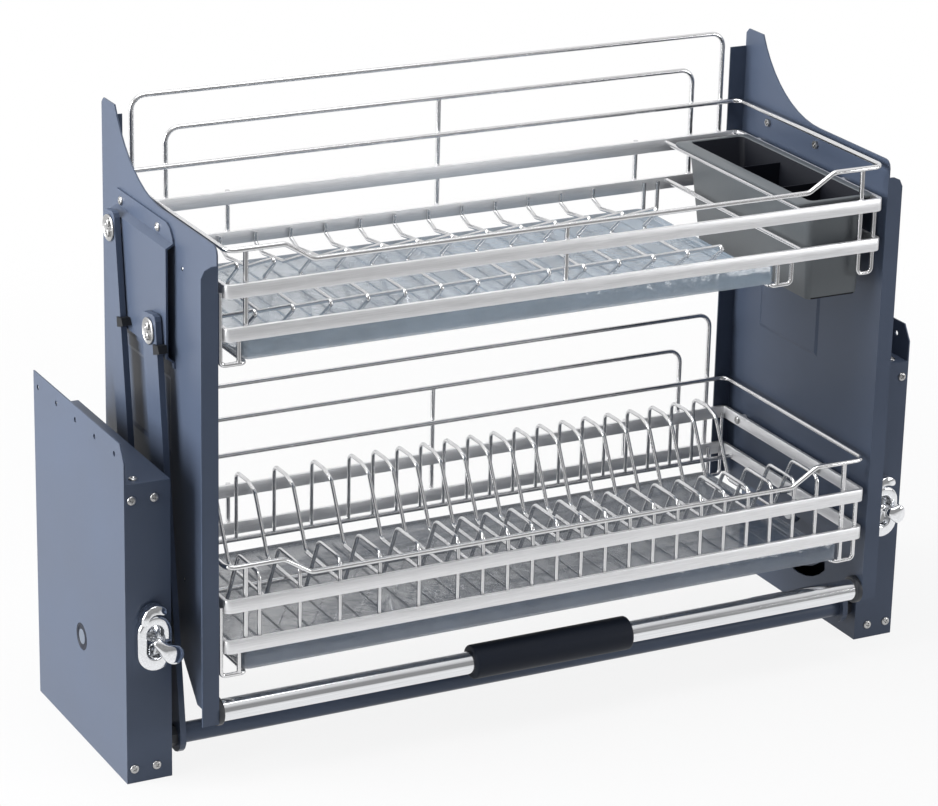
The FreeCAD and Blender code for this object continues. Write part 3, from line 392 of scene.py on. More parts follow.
def turned(bm, start, direction, profile, sides=48):
    """Surface of revolution, profile points are (distance, radius)."""
    least = 0.01
    axis, side = cross_axes(direction)
    up = side.cross(axis)
    loops = []
    for distance, radius in profile:
        centre = Vector(start) + axis * distance
        radius = max(radius, least)
        loops.append([centre + side * (radius * math.cos(2 * math.pi * k / sides))
                      + up * (radius * math.sin(2 * math.pi * k / sides)) for k in range(sides)])
    caps = (profile[0][1] <= least, profile[-1][1] <= least)
    bridge(bm, loops, not any(caps), caps)


def rounded_rect(x0, x1, y0, y1, radius, steps=5):
    points = []
    for cx, cy, start in ((x1 - radius, y1 - radius, 0), (x0 + radius, y1 - radius, 90),
                          (x0 + radius, y0 + radius, 180), (x1 - radius, y0 + radius, 270)):
        for k in range(steps + 1):
            angle = math.radians(start + 90 * k / steps)
            points.append((cx + radius * math.cos(angle), cy + radius * math.sin(angle)))
    return points


def stadium(cx, cz, width, height):
    steps = 12
    radius = width / 2
    reach = height / 2 - radius
    points = []
    for dz, start in ((reach, 0), (-reach, 180)):
        for k in range(steps + 1):
            angle = math.radians(start + 180 * k / steps)
            points.append((cx + radius * math.cos(angle), cz + dz + radius * math.sin(angle)))
    return points


# Cross recess screws
HEAD_RADIUS = 4.5
HEAD_HEIGHT = 2.0
# Share of the radius and of the height, from the recess to the seat
HEAD_PROFILE = ((0.66, 0.95), (0.8, 0.85), (0.91, 0.66), (0.98, 0.38), (1.0, 0.1), (1.0, 0.0))


def cross_outline(reach, half):
    """Outline of a cross with arms of the reach and half width, each edge in three parts."""
    parts = 3
    outline = []
    for quarter in range(4):
        turn = Matrix.Rotation(math.radians(90 * quarter), 2)
        for point in ((reach, -half), (reach, half), (half, half)):
            outline.append(turn @ Vector(point))
    points = []
    for i, corner in enumerate(outline):
        after = outline[(i + 1) % len(outline)]
        for k in range(parts):
            points.append(corner.lerp(after, k / parts))
    return points


def screw_head(bm, seat, direction, turn, radius=HEAD_RADIUS):
    """Pan head with a tapered cross recess, direction points out of the work."""
    axis, side = cross_axes(direction)
    side = Matrix.Rotation(turn, 3, axis) @ side
    up = axis.cross(side)
    seat = Vector(seat)

    def place(across, upward, share):
        return seat + side * across + up * upward + axis * (HEAD_HEIGHT * share)

    top = cross_outline(radius * 0.56, radius * 0.15)
    low = cross_outline(radius * 0.3, radius * 0.1)
    start = math.atan2(top[0].y, top[0].x)
    rings = [[place(0.01 * p.x, 0.01 * p.y, 0.38) for p in low],
             [place(p.x, p.y, 0.42) for p in low],
             [place(p.x, p.y, 0.97) for p in top]]
    for share, level in HEAD_PROFILE:
        ring = []
        for k in range(len(top)):
            angle = start + 2 * math.pi * k / len(top)
            ring.append(place(radius * share * math.cos(angle), radius * share * math.sin(angle), level))
        rings.append(ring)
    bridge(bm, rings)


def screw(bm, seat, direction, turn, radius, length):
    """Head and shank; turn is the recess's angle, radius and length are the shank's."""
    screw_head(bm, seat, direction, turn)
    inward = [-c for c in direction]
    outline = [(0.0, 0.0), (0.0, radius), (length - radius * 0.5, radius), (length, radius * 0.4),
               (length, 0.0)]
    turned(bm, seat, inward, outline, 16)


# Screws of the mechanism boxes
FACE_SCREW_INSETS = (7.4, 30.0)
FACE_SCREW_Z = (14.5, 287.5)
COVER_SCREW_INSET = 14.0
COVER_SCREW_Y = 12.0
COVER_SHEET = 1.5
PLATE_SCREW = (30.0, 14.0)
BOX_SHANK = (1.9, 7.0)
bm = bmesh.new()
box_screws = []
for side in (-1, 1):
    for inset in FACE_SCREW_INSETS:
        for z in FACE_SCREW_Z:
            box_screws.append(((side * (HALF_WIDTH - inset), 0.0, z), (0, -1, 0)))
    cover_seat = (side * (HALF_WIDTH - COVER_SCREW_INSET), COVER_SCREW_Y, COVER_Z + COVER_SHEET)
    box_screws.append((cover_seat, (0, 0, 1)))
    box_screws.append(((side * INNER_PLATE_X, *PLATE_SCREW), (-side, 0, 0)))
for index, (seat, out) in enumerate(box_screws):
    screw(bm, seat, out, 0.5 + 0.9 * index, *BOX_SHANK)
solid("box_screw_set", bm, "mechanism_boxes", zinc, ["box_screws"])

# Screws of the pivot brackets, with hexagon nuts inside the panels
BRACKET_SCREW_Y = (83.0, 174.0)
BRACKET_SCREW_Z = 520.0
BRACKET_SHEET = 2.0
BRACKET_SHANK = (2.4, 6.1)
NUT_PROFILE = [(0.0, 2.6), (0.0, 4.4), (2.6, 4.4), (3.0, 4.0), (3.0, 2.6)]
bm = bmesh.new()
for side in (-1, 1):
    for index, y in enumerate(BRACKET_SCREW_Y):
        seat = (side * (BRACKET_X + BRACKET_SHEET), y, BRACKET_SCREW_Z)
        screw(bm, seat, (side, 0, 0), 0.4 + index, *BRACKET_SHANK)
        turned(bm, (side * PANEL_X, y, BRACKET_SCREW_Z), (-side, 0, 0), NUT_PROFILE, 6)
solid("bracket_screw_set", bm, "rack", zinc, ["bracket_screws"])

# Screws that hold the baskets to the panels
BASKET_SCREW_Y = (30.0, 190.0)
BASKET_SCREW_Z = UPPER_BAR_Z + BAR_H / 2
BASKET_SHANK = (1.9, 11.0)
bm = bmesh.new()
for side in (-1, 1):
    for lift in (0.0, -TIER):
        for index, y in enumerate(BASKET_SCREW_Y):
            seat = (side * (BASKET_X - BAR), y, BASKET_SCREW_Z + lift)
            screw(bm, seat, (-side, 0, 0), 0.7 + 1.3 * index, *BASKET_SHANK)
solid("basket_screw_set", bm, "rack", zinc, ["basket_screws"])

# Pivot caps: domed edge, a shallow dish and two large screws one above the other
CAP_PROFILE = [(0.0, 0.0), (0.0, 12.6), (0.4, 13.0), (1.3, 13.0), (1.75, 12.7), (2.0, 12.1), (1.7, 11.2),
               (1.3, 10.6), (1.3, 0.0)]
CAP_SCREW_LIFT = 4.8
CAP_SCREW_RADIUS = 4.2
bm = bmesh.new()
heads = bmesh.new()
for side in (-1, 1):
    for y, z in (LOWER_PIVOT, UPPER_PIVOT):
        turned(bm, (side * (ARM_X + 0.2), y, z), (side, 0, 0), CAP_PROFILE)
        for lift in (-CAP_SCREW_LIFT, CAP_SCREW_LIFT):
            seat = (side * (ARM_X + 1.5), y, z + lift)
            screw_head(heads, seat, (side, 0, 0), 0.3 + lift * 0.1, CAP_SCREW_RADIUS)
solid("pivot_cap_set", bm, "rack", zinc, ["pivot_caps"])
solid("cap_screws", heads, "rack", zinc)

# Ring plugs in the outer sides of the boxes, darker from the groove outwards
PLUG_PROFILE = [(0.0, 0.0), (0.0, 13.5), (1.1, 13.5), (1.5, 13.0), (1.5, 11.4), (1.0, 10.9), (0.7, 10.4),
                (0.7, 9.0), (1.0, 8.4), (1.3, 7.6), (1.45, 5.0), (1.5, 0.0)]
PLUG_FACE = 7.4
PLUG_DEPTH = 1.5
bm = bmesh.new()
for side in (-1, 1):
    turned(bm, (side * (HALF_WIDTH - PLUG_DEPTH), *REAR_SHAFT), (side, 0, 0), PLUG_PROFILE)
plugs = solid("plug_set", bm, "mechanism_boxes", plug_plastic, ["side_plugs"])
plugs.data.materials.append(plug_groove)
plug_axis = at(0, *REAR_SHAFT)
for face in plugs.data.polygons:
    away = math.hypot(face.center.y - plug_axis.y, face.center.z - plug_axis.z)
    if away > PLUG_FACE / 1000:
        face.material_index = 1


# Baskets: flat bars bent to rectangles, round rails, posts and sleeves
def bar_ring(bm, z0):
    """Flat bar bent to a closed rectangle, its four long edges rounded."""
    corner = 7.0
    soft = 0.7
    outer = rounded_rect(-BASKET_X, BASKET_X, BAR_FRONT, BAR_BACK, corner, 6)
    inner = rounded_rect(-BASKET_X + BAR, BASKET_X - BAR, BAR_FRONT + BAR, BAR_BACK - BAR, corner / 2, 6)
    low = [(0.0, soft), (0.06, 0.3 * soft), (0.18, 0.0), (0.82, 0.0), (0.94, 0.3 * soft), (1.0, soft)]
    high = [(share, BAR_H - z) for share, z in reversed(low)]
    loops = []
    for share, z in low + high:
        loops.append([(a[0] + (b[0] - a[0]) * share, a[1] + (b[1] - a[1]) * share, z0 + z)
                      for a, b in zip(outer, inner)])
    bridge(bm, loops, True, (False, False))


RAIL_Z = 533.5
DIP_Z = 516.0
RAIL_FRONT = BAR_FRONT + BAR - ROD
RAIL_BACK = BAR_BACK - ROD
RAIL_X = BASKET_X - ROD
DIP_X = 265.0
SLOPE = 28.0
STRUT_X = BASKET_X - 23.0
POST_Y = BAR_FRONT + BAR + ROD
LEG_TOP = LOWER_BAR_Z + 10.5
POST_FOOT = LEG_TOP + 0.4
GUARD_Y = BAR_BACK + ROD
GUARD_TOP = 606.0
GUARD_INNER = 570.5
GUARD_INNER_X = 295.0
GUARD_POST_X = 230.0
RAIL_BEND = 10.0
GUARD_BEND = 14.0
BOWL_BEND = 2.5
PLATE_BEND = 8.0
FOOT_BEND = 5.0


def frame_rods(posts, lift):
    """Round rail with its dip in front, and the posts under it."""
    loop = [spot(-RAIL_X, RAIL_FRONT, RAIL_Z), spot(-DIP_X - SLOPE, RAIL_FRONT, RAIL_Z),
            spot(-DIP_X, RAIL_FRONT, DIP_Z), spot(DIP_X, RAIL_FRONT, DIP_Z),
            spot(DIP_X + SLOPE, RAIL_FRONT, RAIL_Z), spot(RAIL_X, RAIL_FRONT, RAIL_Z),
            spot(RAIL_X, RAIL_BACK, RAIL_Z), spot(-RAIL_X, RAIL_BACK, RAIL_Z)]
    runs = [(eased(loop, RAIL_BEND, closed=True), ROD, True)]
    for x in posts:
        top = DIP_Z if abs(x) < DIP_X else RAIL_Z
        runs.append(([spot(x, POST_Y, POST_FOOT), spot(x, POST_Y, top - WELD)], ROD, False))
    return lifted(runs, lift)


def guard_rods(lift):
    """The two loops and three posts of a back guard."""
    runs = []
    for half, top in ((STRUT_X, GUARD_TOP), (GUARD_INNER_X, GUARD_INNER)):
        loop = [spot(-half, GUARD_Y, LOWER_BAR_Z), spot(-half, GUARD_Y, top), spot(half, GUARD_Y, top),
                spot(half, GUARD_Y, LOWER_BAR_Z)]
        runs.append((eased(loop, GUARD_BEND, 7), ROD, False))
    for x, top in ((0.0, GUARD_INNER - WELD), (-GUARD_POST_X, UPPER_BAR_Z + BAR_H),
                   (GUARD_POST_X, UPPER_BAR_Z + BAR_H)):
        runs.append(([spot(x, GUARD_Y, LOWER_BAR_Z), spot(x, GUARD_Y, top)], ROD, False))
    return lifted(runs, lift)


def front_to_back(x, z):
    """Run of one rod from the front bar to the back bar."""
    return [spot(x, BAR_FRONT + BAR - WELD, z), spot(x, BAR_BACK - BAR + WELD, z)], ROD, False


def side_to_side(y, z):
    """Run of one rod from the left bar to the right bar."""
    return [spot(-BASKET_X + BAR - WELD, y, z), spot(BASKET_X - BAR + WELD, y, z)], ROD, False


BOX_RODS = (263.0, BASKET_X - 8.8)
BOX_ROD_Z = UPPER_BAR_Z + BAR_H - ROD - 1.5
carriers = [front_to_back(x, BOX_ROD_Z) for x in BOX_RODS]
carriers.append(front_to_back(BOX_RODS[0] + ROD, LOWER_BAR_Z + BAR_H - 4.0))
SLEEVE_PROFILE = [(0.0, 2.1), (0.0, 5.0), (SLEEVE, 5.0), (SLEEVE, 2.1)]

for name, lift, posts, extra in (("upper", 0.0, (-STRUT_X, 0.0, STRUT_X), carriers),
                                 ("lower", -TIER, (-STRUT_X, STRUT_X), [])):
    bm = bmesh.new()
    bar_ring(bm, UPPER_BAR_Z + lift)
    bar_ring(bm, LOWER_BAR_Z + lift)
    for side in (-1, 1):
        for y in BASKET_SCREW_Y:
            turned(bm, (side * BASKET_X, y, BASKET_SCREW_Z + lift), (side, 0, 0), SLEEVE_PROFILE, 24)
    solid(name + "_bars", bm, "rack", bar_steel, [name + "_frame"])
    rods(name + "_rods", frame_rods(posts, lift) + extra, [name + "_frame"])
    rods(name + "_guard_loops", guard_rods(lift), [name + "_guard"])

# Bowl wires: a two-tooth profile
BOWL_BACK = BAR_BACK - BAR - WIRE
BOWL_FRONT = BAR_FRONT + BAR + WIRE
BOWL_COUNT = 14
BOWL_START = -317.6
BOWL_PITCH = 38.0
bowl_profile = [
    (BOWL_BACK, 458.0), (BOWL_BACK, 447.0), (200.0, 441.0), (150.0, 447.0), (78.0, 477.0),
    (114.0, 445.6), (75.0, 441.0), (37.0, 441.0), (-49.5, 474.0), (-14.6, 446.0), (-28.0, 443.0),
    (BOWL_FRONT + 4.0, 442.5), (BOWL_FRONT, 449.0), (BOWL_FRONT, 458.0)]
runs = []
for i in range(BOWL_COUNT):
    x = BOWL_START + BOWL_PITCH * i
    runs.append((eased([spot(x, y, z) for y, z in bowl_profile], BOWL_BEND), WIRE, False))
rods("bowl_wire_row", runs, ["bowl_wires"])

# Plate wires: tall back leg, seat and front prong, wide pitch then narrow pitch
SEAT_Z = 152.0
PRONG_Z = 214.5
BACK_LEG_Y = 198.0
PLATE_ROD_Y = 76.0
PLATE_START = -316.3
WIDE_PITCH = 41.6
WIDE_COUNT = 5
NARROW_PITCH = 27.07
NARROW_COUNT = 16
plate_profile = [
    (BOWL_FRONT, LOWER_BAR_Z - TIER + 2.0), (BOWL_FRONT, PRONG_Z), (2.0, PRONG_Z), (33.0, SEAT_Z),
    (120.0, SEAT_Z), (152.0, PRONG_Z - 3.0), (170.0, PRONG_Z + 2.5), (BACK_LEG_Y, PRONG_Z + 2.0),
    (BACK_LEG_Y, SEAT_Z - 5.5)]
plate_x = [PLATE_START + WIDE_PITCH * i for i in range(WIDE_COUNT)]
plate_x += [PLATE_START + WIDE_PITCH * WIDE_COUNT + NARROW_PITCH * i for i in range(NARROW_COUNT)]
runs = [(eased([spot(x, y, z) for y, z in plate_profile], PLATE_BEND), WIRE, False) for x in plate_x]
runs.append(side_to_side(BACK_LEG_Y, SEAT_Z - 6.0 - ROD))
runs.append(side_to_side(PLATE_ROD_Y, SEAT_Z - WIRE - ROD))
rods("plate_wire_row", runs, ["plate_wires"])

# Tray runners
FOOT_Z = LOWER_BAR_Z - 23.0
LEG_FRONT = BAR_FRONT + BAR + FOOT
LEG_BACK = BAR_BACK - BAR - FOOT
LEG_HIGH = UPPER_BAR_Z + 6.0
LEG_OUT = BASKET_X - BAR - FOOT - 0.4
LEG_STEP = 16.0
LEG_IN = LEG_OUT - LEG_STEP
LEFT_LEG = -BASKET_X - 1.12 * FOOT
LEFT_IN = LEFT_LEG + 18.6
MIDDLE_LEG = 237.0
RUNNER_STEP = 6.5


def runner(outer, short, top, lift):
    """Bent wire under a tray: two outer legs, and a rail that runs inside two short legs."""
    rail = short + math.copysign(RUNNER_STEP, short - outer)
    path = [spot(outer, LEG_FRONT, top), spot(outer, LEG_FRONT, FOOT_Z), spot(rail, LEG_FRONT, FOOT_Z),
            spot(rail, LEG_BACK, FOOT_Z), spot(outer, LEG_BACK, FOOT_Z), spot(outer, LEG_BACK, top)]
    runs = [(eased(path, FOOT_BEND), FOOT, False)]
    for y in (LEG_FRONT, LEG_BACK):
        runs.append(([spot(short, y, FOOT_Z + 1.0), spot(short, y, LEG_TOP)], FOOT, False))
    return lifted(runs, lift)


runs = runner(LEFT_LEG, LEFT_IN, LEG_HIGH, 0.0)
runs += runner(MIDDLE_LEG + LEG_STEP, MIDDLE_LEG, LEG_TOP, 0.0)
for y in (LEG_FRONT, LEG_BACK):
    foot = [spot(LEG_OUT, y, LEG_HIGH), spot(LEG_OUT, y, FOOT_Z), spot(LEG_IN, y, FOOT_Z),
            spot(LEG_IN, y, LEG_TOP)]
    runs.append((eased(foot, FOOT_BEND), FOOT, False))
rods("upper_tray_runners", runs, ["upper_runners"])
runs = runner(LEFT_LEG, LEFT_IN, LEG_HIGH, -TIER)
runs += runner(LEG_OUT, LEG_IN, LEG_HIGH, -TIER)
rods("lower_tray_runners", runs, ["lower_runners"])

# Drip trays: high front rim, low rim along the sides and back, and low rounded drainage ribs
TRAY_WALL = 1.6
LOW_RIM = 5.2
RIM_RUN = (6.0, 22.0)
SIDE_PARTS = 24
LONG_SIDE = 60.0
RIB_COUNT = 24
RIB_SECTION = ((-1.8, 0.0), (-0.9, 0.45), (0.0, 0.6), (0.9, 0.45), (1.8, 0.0), (0.0, -0.3))
RIB_SIDE = 16.0
RIB_END = 14.0


def tray(node, material):
    """Shell that follows the CAD tray's box, its rim falling behind the front edge."""
    (x0, front, bottom), (x1, back, top) = corners(node)

    def rim_height(y):
        share = (y - front - RIM_RUN[0]) / (RIM_RUN[1] - RIM_RUN[0])
        share = min(1.0, max(0.0, share))
        share = share * share * (3 - 2 * share)
        return top + (bottom + LOW_RIM - top) * share

    def ring(inset, radius, rise, at_rim=False):
        base = rounded_rect(x0 + inset, x1 - inset, front + inset, back - inset, radius, 4)
        points = []
        for i, point in enumerate(base):
            after = base[(i + 1) % len(base)]
            parts = SIDE_PARTS if abs(after[1] - point[1]) > LONG_SIDE else 1
            for k in range(parts):
                x = point[0] + (after[0] - point[0]) * k / parts
                y = point[1] + (after[1] - point[1]) * k / parts
                points.append((x, y, (rim_height(y) if at_rim else bottom) + rise))
        return points

    bm = bmesh.new()
    bridge(bm, [
        ring(2.4, 6.0, 0.0),
        ring(0.6, 7.5, 0.5),
        ring(0.0, 8.0, 2.0),
        ring(0.0, 8.0, -0.4, True),
        ring(0.3, 7.7, 0.0, True),
        ring(TRAY_WALL - 0.3, 6.6, 0.0, True),
        ring(TRAY_WALL, 6.4, -0.4, True),
        ring(TRAY_WALL + 0.2, 6.2, TRAY_WALL + 1.0),
        ring(TRAY_WALL + 1.6, 5.0, TRAY_WALL),
    ])
    for i in range(RIB_COUNT):
        x = x0 + RIB_SIDE + (x1 - x0 - 2 * RIB_SIDE) * i / (RIB_COUNT - 1)
        bridge(bm, [[(x + a, y, bottom + TRAY_WALL + b) for a, b in RIB_SECTION]
                    for y in (front + RIB_END, back - RIB_END)])
    solid(node + "_shell", bm, node, material, [node])


tray("upper_tray", tray_plastic)
# The lower tray gets the darker copy, which is painted shade
tray("lower_tray", tray_plastic_painted_shade)

# Cutlery box: tapered, round corners, an outward lip and two dividers
(LIP_LEFT, LIP_FRONT, BASE_Z), (LIP_RIGHT, LIP_BACK, LIP_TOP) = corners("cutlery_box")
LIP_X = (LIP_LEFT, LIP_RIGHT)
LIP_Y = (LIP_FRONT, LIP_BACK)
LIP_Z = LIP_TOP - 3.2
MOUTH_X = (BOX_RODS[0] + 11.0, BOX_RODS[1] - 3.0)
MOUTH_Y = (LIP_FRONT + 3.0, LIP_BACK - 4.0)
BASE_X = (MOUTH_X[0] + 4.5, MOUTH_X[1] - 3.5)
BASE_Y = (MOUTH_Y[0] + 1.5, MOUTH_Y[1] - 20.0)
BOX_WALL = 1.9
DIVIDER = 2.0
DIVIDER_TAPER = 0.3
DIVIDER_SHARES = (0.34, 0.67)
DIVIDER_DROP = 6.0


def box_ring(x, y, z, inset, radius):
    outline = rounded_rect(x[0] + inset, x[1] - inset, y[0] + inset, y[1] - inset, radius)
    return [(a, b, z) for a, b in outline]


def flat_ring(x, y0, y1, z):
    left = x[0] + BOX_WALL
    right = x[1] - BOX_WALL
    return [(left, y0, z), (right, y0, z), (right, y1, z), (left, y1, z)]


bm = bmesh.new()
bridge(bm, [
    box_ring(BASE_X, BASE_Y, BASE_Z, 2.5, 4.0),
    box_ring(BASE_X, BASE_Y, BASE_Z + 0.7, 0.7, 5.5),
    box_ring(BASE_X, BASE_Y, BASE_Z + 2.5, 0.0, 6.0),
    box_ring(MOUTH_X, MOUTH_Y, LIP_Z - 0.8, 0.0, 7.0),
    box_ring(LIP_X, LIP_Y, LIP_Z + 0.1, 1.2, 5.0),
    box_ring(LIP_X, LIP_Y, LIP_Z + 0.6, 0.2, 5.6),
    box_ring(LIP_X, LIP_Y, LIP_Z + 2.5, 0.0, 6.0),
    box_ring(LIP_X, LIP_Y, LIP_TOP, 0.8, 5.6),
    box_ring(MOUTH_X, MOUTH_Y, LIP_TOP, 1.3, 6.0),
    box_ring(MOUTH_X, MOUTH_Y, LIP_Z + 2.4, 2.0, 5.6),
    box_ring(BASE_X, BASE_Y, BASE_Z + 4.5, 2.0, 4.2),
    box_ring(BASE_X, BASE_Y, BASE_Z + 2.2, 4.0, 3.0),
])
for share in DIVIDER_SHARES:
    y = MOUTH_Y[0] + share * (MOUTH_Y[1] - MOUTH_Y[0])
    low = flat_ring(BASE_X, y, y + DIVIDER, BASE_Z + 2.0)
    high = flat_ring(MOUTH_X, y + DIVIDER_TAPER, y + DIVIDER - DIVIDER_TAPER, LIP_Z - DIVIDER_DROP)
    bridge(bm, [low, high])
shell = solid("cutlery_box_shell", bm, "cutlery_box", box_plastic, ["cutlery_box"])
# Second slot: the painted shade on the box's inner faces
shell.data.materials.append(box_inside_painted_shade)

# The box's inner faces and its dividers get a near-black copy of the box plastic: painted shade inside
# the box
lowest = at(BASE_X[0] + 1.5, MOUTH_Y[0] + 1.0, BASE_Z + 1.5)
highest = at(MOUTH_X[1] - 1.5, MOUTH_Y[1] - 1.0, LIP_Z + 2.7)
box_axis = at(sum(MOUTH_X) / 2, sum(MOUTH_Y) / 2, BASE_Z)
for face in shell.data.polygons:
    normal = face.normal
    within = all(low < c < high for low, c, high in zip(lowest, face.center, highest))
    inward = (box_axis - face.center).dot(normal) > 0 and abs(normal.z) < 0.7
    if within and (inward or normal.z > 0.3 or abs(normal.y) > 0.9):
        face.material_index = 1

# Handle: collars and the rubber grip with soft ends
COLLAR_PROFILE = [(0.0, 0.0), (0.0, 14.0), (4.4, 14.0), (5.4, 13.6), (6.0, 12.6), (6.0, 11.05),
                  (1.0, 11.05), (1.0, 0.0)]
bm = bmesh.new()
for side in (-1, 1):
    turned(bm, (side * PANEL_X, *HANDLE), (-side, 0, 0), COLLAR_PROFILE)
solid("handle_end_collars", bm, "rack", dark_plastic, ["handle_collars"])

bm = bmesh.new()
profile = [(-GRIP_HALF, 11.05), (-GRIP_HALF, 15.4), (-GRIP_HALF + 0.4, 16.3), (-GRIP_HALF + 1.4, 16.9),
           (-GRIP_HALF + 3.0, 17.0)]
profile += [(-x, radius) for x, radius in reversed(profile)]
turned(bm, (0, *HANDLE), (1, 0, 0), profile, 64)
solid("grip_sleeve", bm, "rack", rubber, ["grip"], 60.0)

# Adjuster: chromed plate with an oval well, crescent hook above it and a lever
PLATE_Z = 144.5
PLATE_SIZE = (34.5, 56.0)
PLATE_DEPTH = 11.0
PLATE_EDGE = 7.6
PLATE_SOFT = 5.5
WELL_Z = 146.0
WELL_SIZE = (20.0, 37.0)
WELL_SOFT = 1.5
# Inset and depth of the well's floor, and of each section of the hook
WELL_FLOOR = ((3.4, -3.5), (5.4, -2.5))
HOOK_SECTIONS = ((0.8, -2.6), (0.0, -3.4), (0.0, -13.2), (0.5, -14.2), (1.3, -14.6))
HOOK_REACH = 14.0
# Points from the spindle axis
HOOK = [(-15.0, 18.0), (-14.2, 25.0), (-10.8, 31.5), (-5.4, 35.4), (0.4, 36.8), (5.8, 35.2), (9.6, 31.8),
        (10.6, 28.6), (9.4, 26.6), (7.0, 26.2), (3.8, 27.2), (0.0, 27.8), (-4.2, 27.0), (-7.4, 24.6),
        (-9.2, 21.0), (-10.0, 17.0)]
# Centre from the spindle axis, half width and half thickness along the lever
LEVER = [
    ((0.0, -4.6, 0.0), 5.0, 5.0),
    ((0.2, -9.5, -0.6), 5.0, 4.8),
    ((1.8, -13.4, -3.4), 5.0, 4.2),
    ((4.8, -16.2, -7.6), 5.4, 4.2),
    ((8.2, -17.2, -11.4), 8.6, 4.4),
    ((12.0, -17.6, -15.0), 10.4, 4.4),
    ((16.0, -17.4, -18.2), 9.8, 4.2),
    ((19.6, -17.0, -20.8), 7.0, 3.6),
    ((21.6, -16.8, -22.2), 3.0, 2.0),
]
NECK = 7.6
LEVER_GAP = 0.6
LEVER_SIDES = 24
SQUARENESS = 0.75
# Side, place, turn in degrees and share of the lever's length
ADJUSTERS = (("left", -KNOB_X, -8.0, 1.0), ("right", KNOB_X, -32.0, 0.7))


def stadium_ring(knob_x, z, size, shrink, y):
    return [(x, y, z) for x, z in stadium(knob_x, z, size[0] - shrink, size[1] - shrink)]


def adjuster_plate(bm, knob_x):
    loops = [stadium_ring(knob_x, PLATE_Z, PLATE_SIZE, 0.0, y) for y in (0.0, -PLATE_EDGE)]
    for k in range(1, 6):
        angle = math.radians(90 * k / 5)
        shrink = PLATE_SOFT * (1 - math.cos(angle))
        y = -PLATE_EDGE - (PLATE_DEPTH - PLATE_EDGE) * math.sin(angle)
        loops.append(stadium_ring(knob_x, PLATE_Z, PLATE_SIZE, shrink, y))
    loops.append(stadium_ring(knob_x, WELL_Z, WELL_SIZE, 0.0, -PLATE_DEPTH))
    for k in range(1, 5):
        angle = math.radians(90 * k / 4)
        y = -PLATE_DEPTH + WELL_SOFT * (1 - math.cos(angle))
        loops.append(stadium_ring(knob_x, WELL_Z, WELL_SIZE, 2 * WELL_SOFT * math.sin(angle), y))
    for shrink, y in WELL_FLOOR:
        loops.append(stadium_ring(knob_x, WELL_Z, WELL_SIZE, shrink, y))
    bridge(bm, loops)


def hook_lug(bm, knob_x):
    middle_x = sum(x for x, _ in HOOK) / len(HOOK)
    middle_z = sum(z for _, z in HOOK) / len(HOOK)
    loops = []
    for shrink, y in HOOK_SECTIONS:
        scale = 1 - shrink / HOOK_REACH
        loops.append([(knob_x + middle_x + (x - middle_x) * scale, y,
                       SPINDLE_Z + middle_z + (z - middle_z) * scale) for x, z in HOOK])
    bridge(bm, loops)


def lever_point(index, reach):
    x, y, z = LEVER[max(0, min(index, len(LEVER) - 1))][0]
    return Vector((x * reach, y, z * reach))


def squared(value):
    """Sine or cosine pulled outwards, which makes a circle a little square."""
    return math.copysign(abs(value) ** SQUARENESS, value)


def lever_loop(index, knob_x, turn, reach):
    """One section across the lever; only the neck goes into the well."""
    _, across, thick = LEVER[index]
    here = lever_point(index, reach)
    along = (lever_point(index + 1, reach) - lever_point(index - 1, reach)).normalized()
    wide = along.cross(Vector((0, -1, 0)))
    if wide.length < 0.3:
        wide = Vector((1, 0, 0))
    wide.normalize()
    deep = wide.cross(along).normalized()
    loop = []
    for k in range(LEVER_SIDES):
        angle = 2 * math.pi * k / LEVER_SIDES
        point = here + wide * (across * squared(math.cos(angle)))
        point += deep * (thick * squared(math.sin(angle)))
        if math.hypot(point.x, point.z) > NECK:
            point.y = min(point.y, -PLATE_DEPTH - LEVER_GAP)
        point.rotate(Matrix.Rotation(turn, 3, "Y"))
        loop.append((knob_x + point.x, point.y, SPINDLE_Z + point.z))
    return loop


for side, knob_x, turn, reach in ADJUSTERS:
    bm = bmesh.new()
    adjuster_plate(bm, knob_x)
    solid("adjuster_plate_" + side, bm, "mechanism_boxes", chrome, ["escutcheon_" + side], 50.0)
    bm = bmesh.new()
    hook_lug(bm, knob_x)
    solid("hook_lug_" + side, bm, "mechanism_boxes", chrome, smooth=50.0)
    bm = bmesh.new()
    bridge(bm, [lever_loop(i, knob_x, math.radians(turn), reach) for i in range(len(LEVER))])
    knob = "adjuster_knob_" + side
    lever = solid("adjuster_lever_" + side, bm, "knob_" + side, chrome, [knob], 75.0)
    rounding = lever.modifiers.new("smooth", "SUBSURF")
    rounding.levels = 1
    rounding.render_levels = 2

# Sheet metal and rubber blocks keep their CAD shape and get soft edges
EDGE_WIDTHS = {
    "side_panel": 0.45,
    "box_shell": 0.4,
    "box_top_angle": 0.35,
    "pivot_bracket": 0.5,
    "front_arm": 0.6,
    "rear_arm": 0.6,
    "box_inner_plate": 0.35,
    "rear_arm_bumper": 0.7,
}
for name, width in EDGE_WIDTHS.items():
    for side in ("left", "right"):
        soften(nodes[name + "_" + side], width)
soften(nodes["front_arm_bumpers"], EDGE_WIDTHS["rear_arm_bumper"])

# Camera at the photograph's place
CAMERA_RIGHT = (0.88885, -0.45767, 0.02200)
CAMERA_UP = (0.13798, 0.31314, 0.93963)
CAMERA_BACK = (-0.43693, -0.83215, 0.34149)
CAMERA_PLACE = (-1.5399, -2.8767, 1.4762)
camera_data = bpy.data.cameras.new("camera")
camera_data.sensor_fit = "HORIZONTAL"
camera_data.sensor_width = 36.0
camera_data.lens = 134.0
camera_data.clip_end = 50.0
camera = bpy.data.objects.new("camera", camera_data)
bpy.context.scene.collection.objects.link(camera)
rows = zip(CAMERA_RIGHT, CAMERA_UP, CAMERA_BACK, CAMERA_PLACE)
camera.matrix_world = Matrix((*rows, (0.0, 0.0, 0.0, 1.0)))
bpy.context.scene.camera = camera


